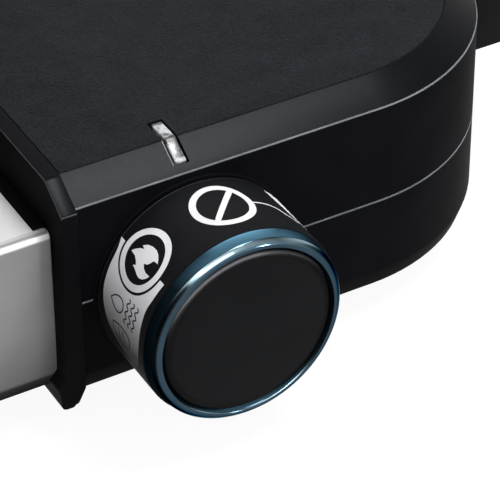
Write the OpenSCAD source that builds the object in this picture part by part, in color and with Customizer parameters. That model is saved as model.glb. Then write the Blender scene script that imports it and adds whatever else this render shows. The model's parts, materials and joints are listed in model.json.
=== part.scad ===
// Countertop electric grill with a rear-hinged lid.
// Control housing on the right, cooking box in the middle, plain end housing on the left.
// X runs to the right, Y to the back, Z up. The origin is under the middle of the grill.

/* [Housings] */
// Width over the two outer end walls
body_w = 538; // [530:1:570]
// Depth from the front face of the housings to their back
body_d = 330; // [322:1:350]
// Height of the housings' underside above the table
foot_h = 10.8; // [9.5:0.1:13]
// Height of the lower shells, from underside to parting line
lower_h = 28.1; // [27.5:0.1:30]
// Height of the upper shells, from parting line to bevel
upper_h = 28.2; // [27.5:0.1:32]
// Height of the bevel round the top
bevel_h = 5.2; // [4.4:0.1:6.5]
// Depth of the bevel round the top
bevel_in = 8.4; // [7:0.1:10]
// Radius of the outer corners seen from above
corner_r = 52.7; // [48:0.1:56]
// Wall of the plastic shells
wall = 2.6; // [2.2:0.1:3.2]
// Height of the tucked-in lower edge
under_h = 5.3; // [4:0.1:7]
// Depth of the tucked-in lower edge
under_in = 1.8; // [1:0.1:3]
// Width of the control housing on the right
ctrl_w = 136; // [130:1:150]
// Width of the plain end housing on the left
end_w = 58; // [57:1:70]
// Width of the rim between bevel and top panel
rim_w = 0.8; // [0.6:0.1:1.5]
// Thickness of the top panels
panel_t = 2.5; // [2:0.1:3]
// Width of the ledge under the top panels
ledge_w = 4; // [3:0.1:6]

/* [Cheeks and fascia] */
// Thickness of the cheek plates beside the cooking box
cheek_t = 4.4; // [4:0.1:6]
// How far a cheek plate stands proud of the front face
cheek_proud = 1.2; // [0.8:0.1:2]
// Depth of the keel along the foot of a cheek plate
keel_h = 3.6; // [2.5:0.1:5]
// Set-back of the fascia's front face
fascia_back = 3.8; // [3.4:0.1:5]
// Height of the fascia's top above the table
fascia_top = 59.5; // [58.5:0.1:61]
// Thickness of the fascia's sheet
sheet_t = 1.2; // [1:0.1:1.6]
// Bend radius at the top of the fascia
bend_top_r = 1.9; // [1.7:0.1:3]
// Bend radius at the foot of the fascia
bend_low_r = 6.8; // [4:0.1:7]
// Depth of the fascia's top flange
shelf_d = 30.6; // [29:0.1:31]
// Width of the dark strip at each end of the shelf
strip_w = 3.4; // [2.5:0.1:5]
// Distance of the cheek plates' screws from the front and the back
cheek_screw_in = 24; // [20:1:30]
// Distance of the cheek plates' screws from the parting line
cheek_screw_dz = 12; // [10:1:14]

/* [Knob] */
// Distance of the knob's axis from the cheek plate
knob_dx = 30.6; // [30:0.1:40]
// Height of the knob's axis above the table
knob_z = 38; // [37:0.1:39]
// How far the knob stands out from the front face
knob_out = 30; // [29.5:0.1:36]
// Radius of the knob's sleeve
knob_r = 26.7; // [26:0.1:28]
// Wall of the knob's sleeve
sleeve_t = 2; // [1.6:0.1:2.6]
// Depth of the knob's bright ring
ring_d = 5.4; // [5:0.1:6]
// Width of the bright ring seen from the front
ring_w = 3.2; // [2.8:0.1:4]
// Radius of the switch shaft
shaft_r = 3; // [2.6:0.1:3.2]
// Radius of the switch bushing
bush_r = 5; // [4.6:0.1:5.4]
// Radius of the switch body
switch_r = 14; // [12:0.1:16]
// Depth of the switch body
switch_d = 22; // [18:1:26]
// Radius of the seat plate's flange behind the knob
seat_r = 28.1; // [28:0.1:29]

/* [Indicator] */
// Width of the light pipe
pipe_w = 3; // [2.4:0.1:3.6]
// Length of the light pipe on the top panel
pipe_run = 7; // [5:0.1:9]
// Share of the bevel that the light pipe covers
pipe_cover = 0.85; // [0.7:0.01:0.9]
// Depth of the light pipe under the surface
pipe_t = 2.4; // [2:0.1:3]
// Offset of the light pipe from the knob's axis
pipe_dx = -0.9; // [-2:0.1:2]

/* [Cooking box] */
// Depth of the base pan's deck between the fascia's shelf and the cooking box
deck_front = 10; // [8:0.1:12]
// Depth of the base pan's rear deck
deck_rear = 24; // [22:0.1:26]
// Width of the base pan's side decks
deck_side = 10; // [8:0.1:12]
// Height of the grate's seat above the table
seat_z = 51; // [50:0.1:52]
// Width of the grate's seat
seat_w = 6; // [5:0.1:8]
// Height of the cooking box liner's lower edge above the table
liner_z = 40.5; // [40:0.1:41]
// Height of a grate
grate_h = 10; // [8:0.1:12]
// Width of a grate's frame
grate_rim = 7; // [5:0.1:9]
// Width of a grate's bars
bar_w = 4.6; // [4:0.1:6]
// Gap between a grate's bars
bar_gap = 7.4; // [6:0.1:10]

/* [Heating element] */
// Radius of the heating tube
tube_r = 3.25; // [3:0.05:3.6]
// Height of the heating tube's axis above the table
tube_z = 46; // [45.5:0.1:46.5]
// Distance between the tube's passes
pass_gap = 58; // [50:1:62]
// Distance of the first pass from the front
pass_y = 86; // [80:1:92]

/* [Control board] */
// Distance of the control board from the housing's inner wall
board_dx = 44; // [40:1:46]
// Distance of the control board from the front face
board_dy = 96; // [90:1:104]
// Width of the control board
board_w = 74; // [70:1:80]
// Length of the control board
board_l = 100; // [96:1:110]
// Thickness of the control board
board_t = 1.6; // [1.2:0.1:2]
// Height of the control board's plugs
plug_h = 10; // [8:0.5:12]

/* [Drip tray] */
// Width of the drip tray
tray_w = 250; // [230:1:270]
// Height of the drip tray
tray_h = 19.5; // [16:0.1:20]
// Wall of the drip tray
tray_t = 1.4; // [1:0.1:2]
// Height of the tray rails' running face over the base floor
rail_h = 3.8; // [3.4:0.1:4.2]
// Width of the finger notch over the tray's front
notch_w = 84; // [70:1:100]
// Height of the finger notch over the tray's front
notch_h = 10; // [8:0.1:11]

/* [Lid] */
// Height of the lid over the shelf
lid_h = 88; // [80:1:100]
// Height of the lid's upright walls
lid_wall_h = 46; // [44:1:52]
// Inward run of the lid's dome
dome_in = 44; // [38:1:48]
// Thickness of the lid's metal
lid_t = 2; // [1.6:0.1:2.6]
// Corner radius of the lid at its rim
lid_r = 20; // [16:1:24]
// Set-back of the lid's rim from the fascia's shelf
lid_back = 1.6; // [1.4:0.1:3]
// Height of the lid's steel rim
lid_rim_h = 8; // [6:0.1:9]
// Distance of the window's opening from the sides of the lid's flat top
win_side = 20.9; // [18:0.1:30]
// Distance of the window's opening from the front and back of the lid's flat top
win_end = 22.8; // [18:0.1:32]
// Thickness of the window's glass
glass_t = 4; // [3:0.1:5]
// Length of the lid's handle
bar_l = 190; // [170:1:210]
// Radius of the lid's handle
bar_r = 8.5; // [8:0.1:10]
// Finger gap behind the lid's handle
finger_gap = 25; // [23:0.1:28]
// Radius of the hinge pins
pin_r = 2.5; // [2:0.1:3]
// Distance of each hinge from the lid's middle
hinge_dx = 105; // [90:1:120]

/* [Side handles] */
// How far a side handle stands out from its wall
grip_out = 34; // [33:0.1:38]
// Length of a side handle
grip_l = 128; // [120:1:140]
// Thickness of a side handle's bar
grip_t = 12; // [10:0.1:13]
// Height of a side handle
grip_h = 21; // [18:0.1:24]

/* [Feet] */
// Radius of a rubber foot
foot_r = 11; // [9:0.1:12]
// Radius of the cord outlet's hole in the rear wall
outlet_r = 8; // [7:0.1:9]
// Radius of the hole through the cord bush
cord_hole_r = 3.9; // [3.4:0.1:4.4]

/* [Fits] */
// Running clearance of a shaft or pin in its bore
run_gap = 0.05; // [0.03:0.01:0.08]
// Gap between fixed pieces that slip together
slip_gap = 0.2; // [0.1:0.05:0.3]
// Gap between pieces that move past each other
move_gap = 0.35; // [0.3:0.05:0.5]
// Side clearance of the lid and the tray
side_gap = 1.5; // [1.2:0.1:2]

/* [Hidden] */
$fn = 48;

// Heights
z_part = foot_h + lower_h;
z_bevel = z_part + upper_h;
z_top = z_bevel + bevel_h;
z_floor = foot_h + wall;
z_deck = fascia_top - sheet_t;
z_ledge = z_top - panel_t;
z_roof = z_bevel - rim_w;
z_lid = fascia_top + sheet_t;
z_lid_shell = z_lid + sheet_t;
z_dome = z_lid_shell + lid_wall_h;
z_lid_top = fascia_top + lid_h;

// Places along X and Y; the front face of the housings is at y = 0 until it is moved to front_y
front_y = (knob_out - body_d) / 2;
ctrl_x = body_w / 2 - ctrl_w;
end_x = end_w - body_w / 2;
box_x0 = end_x + cheek_t;
box_x1 = ctrl_x - cheek_t;
box_mid = (box_x0 + box_x1) / 2;
knob_x = ctrl_x + knob_dx;
liner_y0 = fascia_back + shelf_d + deck_front;
liner_y1 = body_d - deck_rear - 2;
liner_x0 = box_x0 + deck_side + 2;
liner_x1 = box_x1 - deck_side - 2;
lid_y0 = fascia_back + shelf_d + lid_back;
lid_y1 = liner_y1 + 8;
lid_x0 = box_x0 + side_gap;
lid_x1 = box_x1 - side_gap;
hinge_y = lid_y1 + 10;
hinge_z = z_lid + 5.5;
knuckle_r = 5.6;
bracket_w = 12;
knuckle_w = 7;
screw_r = 1.7;
screw_head_r = 3.4;
boss_r = 4.2;
fastener_gap = 0.1;
tray_z0 = z_floor + rail_h + move_gap;
tray_y0 = fascia_back + 2;
tray_y1 = liner_y1 - 6;
tray_x0 = box_mid - tray_w / 2;
tray_x1 = box_mid + tray_w / 2;
window_z0 = z_floor + rail_h - 1;
window_z1 = tray_z0 + tray_h + 1.2;
grip_y0 = corner_r - 6.7;
grip_z0 = z_part + 1;
seat_t = 1;
sleeve_back = seat_t + move_gap;
ring_z = knob_out - ring_d;
pass_n = 4;
tube_x0 = liner_x0 + seat_w + 8;
tube_x1 = liner_x1 - seat_w - 8;
tube_end = ctrl_x + 16;

// Points of a circular arc
function arc(cx, cy, r, a0, a1, n) =
    [for (i = [0:n]) [cx + r * cos(a0 + (a1 - a0) * i / n), cy + r * sin(a0 + (a1 - a0) * i / n)]];

// Rectangle with round corners
function rrect(x0, x1, y0, y1, r, n = 6) = concat(
    arc(x1 - r, y0 + r, r, -90, 0, n), arc(x1 - r, y1 - r, r, 0, 90, n),
    arc(x0 + r, y1 - r, r, 90, 180, n), arc(x0 + r, y0 + r, r, 180, 270, n));

// Outline of an end housing: flat on the inner side at x0, round on the outer corners
function end_outline(w, ins, x0 = 0, n = 14) = concat(
    [[x0, ins]], arc(w - corner_r, corner_r, corner_r - ins, -90, 0, n),
    arc(w - corner_r, body_d - corner_r, corner_r - ins, 0, 90, n), [[x0, body_d - ins]]);

function at_z(points, z) = [for (p = points) [p[0], p[1], z]];

// Solid through a stack of outlines that have the same number of points
module loft(rings) {
    n = len(rings[0]);
    m = len(rings);
    sides = [for (j = [0:m - 2], i = [0:n - 1])
        [j * n + i, (j + 1) * n + i, (j + 1) * n + (i + 1) % n, j * n + (i + 1) % n]];
    polyhedron([for (ring = rings) each ring],
        concat([[for (i = [0:n - 1]) i]], sides, [[for (i = [n - 1:-1:0]) (m - 1) * n + i]]));
}

module block(x0, x1, y0, y1, z0, z1) {
    translate([x0, y0, z0]) cube([x1 - x0, y1 - y0, z1 - z0]);
}

module rblock(x0, x1, y0, y1, r, z0, z1) {
    translate([0, 0, z0]) linear_extrude(z1 - z0) polygon(rrect(x0, x1, y0, y1, r));
}

// Everything is drawn with the front face at y = 0 and moved back here
module placed() {
    translate([0, front_y, 0]) children();
}

// The two end housings share one local frame: x = 0 at the cheek, growing outwards
module right_end() {
    placed() translate([ctrl_x, 0, 0]) children();
}

module left_end() {
    placed() translate([end_x, 0, 0]) mirror([1, 0, 0]) children();
}

// Cylinder along X, and along the knob's axis
module rod_x(x0, x1, y, z, r) {
    translate([x0, y, z]) rotate([0, 90, 0]) cylinder(h = x1 - x0, r = r);
}

module rod_y(x, y0, y1, z, r) {
    translate([x, y1, z]) rotate([90, 0, 0]) cylinder(h = y1 - y0, r = r);
}

module rod_z(x, y, z0, z1, r) {
    translate([x, y, z0]) cylinder(h = z1 - z0, r = r);
}

// Knob parts are turned about the knob's axis, with their z measured outwards from the front face
module on_knob() {
    placed() translate([knob_x, 0, knob_z]) rotate([90, 0, 0]) children();
}

// ---- End housings ----

// Screw posts near the corners of an end housing
function post_xy(w) = let (d = (corner_r - wall - boss_r - 1) * 0.7) [
    [wall + boss_r + 2, 16], [w - corner_r + d, corner_r - d],
    [wall + boss_r + 2, body_d - 16], [w - corner_r + d, body_d - corner_r + d]];

function foot_xy(w) = let (x = max(foot_r + 3, w - corner_r + 6)) [[x, 42], [x, body_d - 42]];

module shell_posts(w, z0, z1) {
    for (p = post_xy(w)) rod_z(p[0], p[1], z0, z1, boss_r);
}

module upper_shell(w) {
    difference() {
        union() {
            difference() {
                loft([at_z(end_outline(w, 0), z_part), at_z(end_outline(w, 0), z_bevel),
                    at_z(end_outline(w, bevel_in), z_top)]);
                translate([0, 0, z_part - 1]) linear_extrude(z_roof - z_part + 1)
                    polygon(end_outline(w, wall, wall));
                translate([0, 0, z_roof - 1]) linear_extrude(z_top)
                    polygon(end_outline(w, bevel_in + rim_w + ledge_w, wall));
                translate([0, 0, z_ledge]) linear_extrude(z_top)
                    polygon(end_outline(w, bevel_in + rim_w, -1));
            }
            shell_posts(w, z_part, z_ledge);
        }
        for (p = post_xy(w)) rod_z(p[0], p[1], z_part - 1, z_ledge - 4, screw_r);
    }
}

module lower_shell(w) {
    difference() {
        union() {
            difference() {
                loft([at_z(end_outline(w, under_in), foot_h), at_z(end_outline(w, 0), foot_h + under_h),
                    at_z(end_outline(w, 0), z_part)]);
                loft([at_z(end_outline(w, under_in + wall, wall), z_floor),
                    at_z(end_outline(w, wall, wall), foot_h + under_h + 1),
                    at_z(end_outline(w, wall, wall), z_part + 1)]);
            }
            shell_posts(w, foot_h + wall / 2, z_part);
        }
        for (p = post_xy(w)) {
            rod_z(p[0], p[1], foot_h - 1, z_part + 1, screw_r + fastener_gap);
            rod_z(p[0], p[1], foot_h - 1, foot_h + 6, screw_head_r + fastener_gap);
        }
        for (p = foot_xy(w)) rod_z(p[0], p[1], foot_h - 1, z_floor + 1, foot_r / 2 + fastener_gap);
    }
}

module top_panel(w) {
    translate([0, 0, z_ledge]) linear_extrude(panel_t)
        polygon(end_outline(w, bevel_in + rim_w + slip_gap, slip_gap));
}

// Side view of the light pipe, or of its slot when it grows by g
module pipe_profile(g) {
    run = bevel_in + pipe_run + g;
    low = (1 - pipe_cover) * bevel_in - g;
    low_z = z_top - pipe_cover * bevel_h - g * bevel_h / bevel_in;
    polygon([[run, z_top], [bevel_in, z_top], [low, low_z],
        [low + pipe_t / 2, low_z - pipe_t], [bevel_in + pipe_t / 2, z_top - pipe_t - panel_t / 2 - g],
        [run, z_top - pipe_t - panel_t / 2 - g]]);
}

module pipe_bar(w, g) {
    translate([knob_dx + pipe_dx - w / 2, 0, 0]) rotate([90, 0, 90]) linear_extrude(w) pipe_profile(g);
}

module pipe_slot() {
    pipe_bar(pipe_w + 2 * slip_gap, slip_gap);
    translate([0, 0, 0.5]) pipe_bar(pipe_w + 2 * slip_gap, slip_gap);
}

// Holes in the control housing's inner wall for the heating tube's two ends
module tube_holes(x0, x1, r) {
    for (y = [pass_y, pass_y + (pass_n - 1) * pass_gap]) rod_x(x0, x1, y, tube_z, r);
}

module knob_opening() {
    rod_y(knob_dx, -1, wall + 1, knob_z, bush_r + 6 + fastener_gap);
}

function cheek_screw_yz() = [for (y = [cheek_screw_in, body_d - cheek_screw_in], s = [-1, 1])
    [y, z_part + s * cheek_screw_dz]];

module cheek_screw_holes(x0, x1, r) {
    for (p = cheek_screw_yz()) rod_x(x0, x1, p[0], p[1], r);
}

module control_upper_shell() {
    color("#17181b") right_end() difference() {
        upper_shell(ctrl_w);
        pipe_slot();
        rod_z(knob_dx + pipe_dx, led_y, z_roof - 1, z_ledge + 1, led_r + slip_gap);
        knob_opening();
        tube_holes(-1, wall + 1, tube_r + 1);
        cheek_screw_holes(-1, wall + 1, screw_r + fastener_gap);
        grip_screw_holes(ctrl_w);
    }
}

module control_lower_shell() {
    color("#141518") right_end() difference() {
        lower_shell(ctrl_w);
        knob_opening();
        cheek_screw_holes(-1, wall + 1, screw_r + fastener_gap);
        rod_y(ctrl_w - corner_r - 10, body_d - wall - 1, body_d + 1, outlet_z(), outlet_r);
    }
}

function outlet_z() = (z_floor + z_part) / 2;

module control_top_panel() {
    color("#2d2f32") right_end() difference() {
        top_panel(ctrl_w);
        pipe_slot();
    }
}

module end_upper_shell() {
    color("#17181b") left_end() difference() {
        upper_shell(end_w);
        cheek_screw_holes(-1, wall + 1, screw_r + fastener_gap);
        grip_screw_holes(end_w);
    }
}

module end_lower_shell() {
    color("#141518") left_end() difference() {
        lower_shell(end_w);
        cheek_screw_holes(-1, wall + 1, screw_r + fastener_gap);
    }
}

module end_top_panel() {
    color("#2d2f32") left_end() top_panel(end_w);
}

// ---- Cheek plates ----

// Side view of a cheek plate, with its nose following the bevel
module cheek_profile() {
    nose = cheek_proud;
    polygon([[-nose, foot_h - keel_h + 1], [-nose + 1, foot_h - keel_h], [body_d - 1, foot_h - keel_h],
        [body_d, foot_h - keel_h + 1], [body_d, z_bevel], [body_d - bevel_in, z_top + 0.3],
        [bevel_in - 1, z_top + 0.3], [-nose, z_bevel - nose / 2]]);
}

// In the local frame of an end housing the plate lies between x = -cheek_t and x = 0
module cheek_plate() {
    difference() {
        translate([-cheek_t, 0, 0]) rotate([90, 0, 90]) linear_extrude(cheek_t - slip_gap / 2)
            cheek_profile();
        // Taper along the keel's outer side
        translate([0, -5, 0]) rotate([-90, 0, 0]) linear_extrude(body_d + 10)
            polygon([[1, -foot_h - 0.6], [-slip_gap, -foot_h - 0.6],
                [-cheek_t * 0.54, -foot_h + keel_h + 1], [1, -foot_h + keel_h + 1]]);
        cheek_screw_holes(-cheek_t - 1, 1, screw_r + fastener_gap);
    }
}

module right_cheek() {
    color("#1b1c1f") right_end() difference() {
        cheek_plate();
        tube_holes(-cheek_t - 1, 1, tube_r + 0.5);
    }
}

module left_cheek() {
    color("#1b1c1f") left_end() cheek_plate();
}

module cheek_screws() {
    color("silver") {
        right_end() cheek_screw_set();
        left_end() cheek_screw_set();
    }
}

// Through screws that hold base pan, cheek plate and housing together, each with its nut
module cheek_screw_set() {
    head = -cheek_t - slip_gap - wall;
    for (p = cheek_screw_yz()) {
        rod_x(head - 2, wall + 4, p[0], p[1], screw_r);
        rod_x(head - 2, head, p[0], p[1], screw_head_r);
        rod_x(wall, wall + 2.4, p[0], p[1], screw_head_r);
    }
}

// ---- Middle section ----

// Window for the drip tray with a finger notch over its middle
module tray_window(y0, y1) {
    m = side_gap;
    rblock_y(tray_x0 - m, tray_x1 + m, window_z0, window_z1, 2, y0, y1);
    rblock_y(box_mid - notch_w / 2, box_mid + notch_w / 2, window_z0 + 4, window_z1 + notch_h, 8, y0, y1);
}

// Round-cornered block drawn in the XZ plane
module rblock_y(x0, x1, z0, z1, r, y0, y1) {
    translate([0, y1, 0]) rotate([90, 0, 0]) linear_extrude(y1 - y0) polygon(rrect(x0, x1, z0, z1, r));
}

module base_pan() {
    y0 = fascia_back + bend_top_r;
    x0 = box_x0 + slip_gap;
    x1 = box_x1 - slip_gap;
    color("#1a1b1d") placed() difference() {
        block(x0, x1, y0, body_d, foot_h + sheet_t + slip_gap, z_deck);
        block(x0 + wall, x1 - wall, y0 + wall, body_d - wall, z_floor, z_deck - wall);
        block(x0 + deck_side, x1 - deck_side, liner_y0 - 2, liner_y1 + 2, z_floor, z_deck + 1);
        tray_window(y0 - 1, y0 + wall + 1);
        tube_holes(x1 - wall - 1, x1 + 1, tube_r + 0.5);
        cheek_screw_holes(x0 - 1, x0 + wall + 1, screw_r + fastener_gap);
        cheek_screw_holes(x1 - wall - 1, x1 + 1, screw_r + fastener_gap);
        // Lower front edge follows the fascia's bend
        translate([x0 - 1, 0, 0]) rotate([90, 0, 90]) linear_extrude(x1 - x0 + 2)
            polygon([[y0 - 1, foot_h - 1], [y0 + bend_low_r - 1, foot_h - 1], [y0 - 1, foot_h + bend_low_r]]);
        for (i = [0:5]) block(box_x1 - 110 + i * 14, box_x1 - 102 + i * 14,
            body_d - wall - 1, body_d + 1, z_floor + 12, z_deck - 16);
    }
}

// Section of the fascia: front face, rounded bends, top and bottom flanges
function fascia_line(g) = let (y0 = fascia_back + g, z1 = fascia_top - g, z0 = foot_h - 0.4 + g) concat(
    [[fascia_back + shelf_d, z1]], arc(y0 + bend_top_r - g, z1 - bend_top_r + g, bend_top_r - g, 90, 180, 5),
    arc(y0 + bend_low_r - g, z0 + bend_low_r - g, bend_low_r - g, 180, 270, 8), [[fascia_back + 22, z0]]);

function reversed(list) = [for (i = [len(list) - 1:-1:0]) list[i]];

module front_fascia() {
    x0 = box_x0 + 0.6;
    x1 = box_x1 - 0.6;
    color("#b9babd") placed() difference() {
        translate([x0, 0, 0]) rotate([90, 0, 90]) linear_extrude(x1 - x0)
            polygon(concat(fascia_line(0), reversed(fascia_line(sheet_t))));
        tray_window(fascia_back - 1, fascia_back + sheet_t + 1);
        for (x = [x0 - 1, x1 - strip_w]) block(x, x + strip_w + 1, fascia_back + bend_top_r + 1,
            fascia_back + shelf_d + 1, z_deck - 1, fascia_top + 1);
    }
}

module shelf_end_strips() {
    x0 = box_x0 + 0.6;
    x1 = box_x1 - 0.6;
    color("#101113") placed() for (x = [x0, x1 - strip_w + fastener_gap])
        block(x, x + strip_w - fastener_gap, fascia_back + bend_top_r + 1.1, fascia_back + shelf_d,
            z_deck, fascia_top + 0.4);
}

module cookbox_liner() {
    t = sheet_t;
    color("#8f9194") placed() difference() {
        union() {
            rblock(box_x0 + 0.8, box_x1 - 0.8, lid_y0 - 1, lid_y1 + 1, 6, z_deck, fascia_top);
            rblock(liner_x0, liner_x1, liner_y0, liner_y1, 6, seat_z - t, fascia_top);
            rblock(liner_x0 + seat_w, liner_x1 - seat_w, liner_y0 + seat_w, liner_y1 - seat_w, 4,
                liner_z, seat_z);
        }
        rblock(liner_x0 + t, liner_x1 - t, liner_y0 + t, liner_y1 - t, 5, seat_z, fascia_top + 1);
        rblock(liner_x0 + seat_w + t, liner_x1 - seat_w - t, liner_y0 + seat_w + t, liner_y1 - seat_w - t,
            3, liner_z - 1, fascia_top + 1);
        tube_holes(liner_x1 - seat_w - t - 1, liner_x1 - seat_w + 1, tube_r + slip_gap);
    }
}

// ---- Heating element ----

function pass_at(i) = pass_y + i * pass_gap;

module tube_bend(x, y, turn) {
    translate([x, y, tube_z]) rotate([0, 0, turn]) rotate_extrude(angle = 180)
        translate([pass_gap / 2, 0]) circle(r = tube_r);
}

module element_tube() {
    bend = pass_gap / 2;
    left = tube_x0 + bend;
    right = tube_x1 - bend;
    color("#5b5f63") placed() union() {
        for (i = [0, pass_n - 1]) rod_x(left, tube_end, pass_at(i), tube_z, tube_r);
        for (i = [1:pass_n - 2]) rod_x(left, right, pass_at(i), tube_z, tube_r);
        for (i = [0:2:pass_n - 2]) tube_bend(left, pass_at(i) + bend, 90);
        for (i = [1:2:pass_n - 3]) tube_bend(right, pass_at(i) + bend, -90);
    }
}

module element_terminals() {
    color("#d9d2c0") placed() for (i = [0, pass_n - 1]) {
        rod_x(tube_end, tube_end + 5, pass_at(i), tube_z, tube_r - 0.6);
        rod_x(tube_end + 5, tube_end + 12, pass_at(i), tube_z, 1.2);
    }
}

module element_brackets() {
    z1 = tube_z - tube_r;
    y0 = liner_y0 + seat_w + sheet_t;
    y1 = liner_y1 - seat_w - sheet_t;
    color("#7d8083") placed() for (x = [liner_x0 + 80, liner_x1 - 80])
        union() {
            block(x - 6, x + 6, y0, y1, z1 - sheet_t, z1);
            for (y = [y0, y1 - sheet_t]) block(x - 6, x + 6, y, y + sheet_t, z1 - sheet_t, z1 + 4);
        }
}

module thermal_cutout() {
    y = body_d / 2;
    color("#c9c4b4") placed() union() {
        rod_x(ctrl_x + wall, ctrl_x + wall + 7, y, z_part + 14, 8);
        rod_x(ctrl_x + wall, ctrl_x + wall + 1.2, y, z_part + 14, 11);
        for (s = [-1, 1]) block(ctrl_x + wall + 7, ctrl_x + wall + 15, y + s * 4 - 3, y + s * 4 + 3,
            z_part + 13.6, z_part + 14.4);
    }
}

// Wire through its points, with a slightly thicker ball at each bend
module wire(points, r) {
    for (i = [0:len(points) - 2]) {
        d = points[i + 1] - points[i];
        l = norm(d);
        translate(points[i]) rotate([0, acos(d[2] / l), atan2(d[1], d[0])]) cylinder(h = l, r = r);
    }
    for (i = [1:len(points) - 2]) translate(points[i]) sphere(r = r + 0.15);
}

// The control board stands on posts in the control housing; its top carries the parts
board_x0 = ctrl_x + board_dx;
board_x1 = board_x0 + board_w;
board_y0 = board_dy;
board_y1 = board_y0 + board_l;
board_z = z_floor + 5;
plug_x = (board_x0 + board_x1) / 2 - 1;

module control_board() {
    z = board_z + board_t;
    color("#2f5d3a") placed() union() {
        block(board_x0, board_x1, board_y0, board_y1, board_z, z);
        for (x = [board_x0 + 5, board_x1 - 5], y = [board_y0 + 5, board_y1 - 5]) rod_z(x, y, z_floor, board_z, 3);
        block(board_x0 + 6, board_x0 + 26, board_y0 + 12, board_y0 + 28, z, z + 15);
        block(board_x0 + 6, board_x0 + 26, board_y0 + 34, board_y0 + 50, z, z + 15);
        block(board_x1 - 30, board_x1 - 8, board_y1 - 34, board_y1 - 12, z, z + 18);
        rod_z(board_x1 - 18, board_y0 + 22, z, z + 16, 7);
        block(board_x0 + 2, board_x0 + 12, board_y1 - 36, board_y1 - 6, z, z + plug_h);
        block(plug_x - 6, plug_x + 6, board_y1 - 16, board_y1 - 6, z, z + plug_h);
    }
}

module heater_leads() {
    z = board_z + board_t + plug_h;
    x = board_x0 + 7;
    color("#b23b2e") placed() {
        wire([[tube_end + 12, pass_at(0), tube_z], [tube_end + 20, pass_at(0), tube_z],
            [x, board_y1 - 30, z + 8], [x, board_y1 - 30, z]], 1.5);
        wire([[tube_end + 12, pass_at(pass_n - 1), tube_z], [tube_end + 20, pass_at(pass_n - 1), tube_z],
            [x, board_y1 - 12, z + 8], [x, board_y1 - 12, z]], 1.5);
    }
}

module supply_leads() {
    x = ctrl_x + ctrl_w - corner_r - 10;
    z = board_z + board_t + plug_h;
    color("#3a3d8f") placed() for (s = [-1, 1])
        wire([[x + s * 1.9, body_d - 12, outlet_z()], [x + s * 1.9, body_d - 50, outlet_z()],
            [plug_x + s * 2.4, board_y1 - 11, z + 6], [plug_x + s * 2.4, board_y1 - 11, z]], 1.4);
}

module cord_bush() {
    color("#0f1011") right_end() difference() {
        union() {
            rod_y(ctrl_w - corner_r - 10, body_d - 14, body_d, outlet_z(), outlet_r - fastener_gap);
            rod_y(ctrl_w - corner_r - 10, body_d - wall - 2.2, body_d - wall, outlet_z(), outlet_r + 1);
        }
        rod_y(ctrl_w - corner_r - 10, body_d - 15, body_d + 1, outlet_z(), cord_hole_r);
    }
}

// ---- Switch, indicator and knob ----

module knob_seat_plate() {
    color("#1d1e21") on_knob() difference() {
        union() {
            cylinder(h = seat_t, r = seat_r);
            translate([0, 0, -wall - 1.4]) cylinder(h = wall + 1.4, r = bush_r + 6);
        }
        translate([0, 0, -wall - 3]) cylinder(h = wall + seat_t + 6, r = bush_r + fastener_gap);
    }
}

module rotary_switch() {
    back = wall + 1.4;
    color("#caa24a") on_knob() difference() {
        union() {
            translate([0, 0, -back - switch_d]) cylinder(h = switch_d, r = switch_r);
            translate([0, 0, -back]) cylinder(h = back + seat_t + 5, r = bush_r);
            for (a = [45:90:315]) rotate([0, 0, a]) translate([switch_r - 5, -2.4, -back - switch_d - 6])
                cube([0.8, 4.8, 8]);
        }
        translate([0, 0, -back]) cylinder(h = 40, r = shaft_r + run_gap);
    }
}

module switch_nut() {
    color("#c8c8c8") on_knob() difference() {
        translate([0, 0, seat_t]) cylinder(h = 3, r = bush_r + 3, $fn = 6);
        translate([0, 0, seat_t - 1]) cylinder(h = 6, r = bush_r + fastener_gap);
    }
}

led_y = bevel_in + pipe_run - 2;
led_r = 1.4;
web_t = 2.4;
shaft_tip = ring_z - web_t - 2;
hub_z = seat_t + 6.4;
hub_r = shaft_r + 4;

module shaft_shape(r, z0, z1) {
    difference() {
        translate([0, 0, z0]) cylinder(h = z1 - z0, r = r);
        // Flat of the D, only where the knob's hub grips
        translate([-r - 1, r * 0.5, seat_t + 6]) cube([2 * r + 2, r, z1]);
    }
}

module switch_shaft() {
    color("#d5d5d5") on_knob() shaft_shape(shaft_r, -wall - 1, shaft_tip);
}

module knob_sleeve() {
    color("#111214") on_knob() difference() {
        union() {
            rotate_extrude() polygon([[knob_r - sleeve_t, sleeve_back], [knob_r, sleeve_back],
                [knob_r, ring_z], [0, ring_z], [0, ring_z - web_t], [knob_r - sleeve_t, ring_z - web_t]]);
            translate([0, 0, hub_z]) cylinder(h = ring_z - hub_z - web_t / 2, r = hub_r);
        }
        shaft_shape(shaft_r + 0.02, 0, shaft_tip + 0.02);
    }
}

module knob_spring() {
    color("#a9acb0") on_knob() difference() {
        translate([0, 0, hub_z + 1.6]) cylinder(h = 5, r = hub_r + 0.6);
        translate([0, 0, hub_z]) cylinder(h = 8, r = hub_r + 0.02);
        translate([0, -1, hub_z]) cube([20, 2, 8]);
    }
}

module knob_ring() {
    out = knob_r - 0.3;
    nose = 1.6;
    color("#5fa0bd") on_knob() rotate_extrude() polygon(concat(
        [[knob_r - ring_w - 0.3, ring_z], [out, ring_z]],
        arc(out - nose - 0.2, knob_out - nose, nose, 20, 160, 8),
        [[knob_r - ring_w - 0.3, knob_out - nose]]));
}

module knob_cap() {
    r = knob_r - ring_w - 0.3 - fastener_gap / 2;
    edge = knob_out - 2.2;
    color("#202124") on_knob() rotate_extrude() polygon(concat(
        [[0, ring_z], [r, ring_z], [r, edge - 1]],
        [for (i = [6:-1:0]) [(r - 1) * i / 6, edge + 0.8 * (1 - pow(i / 6, 2))]]));
}

module light_pipe() {
    color("#e8ecef") right_end() pipe_bar(pipe_w, 0);
}

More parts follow.
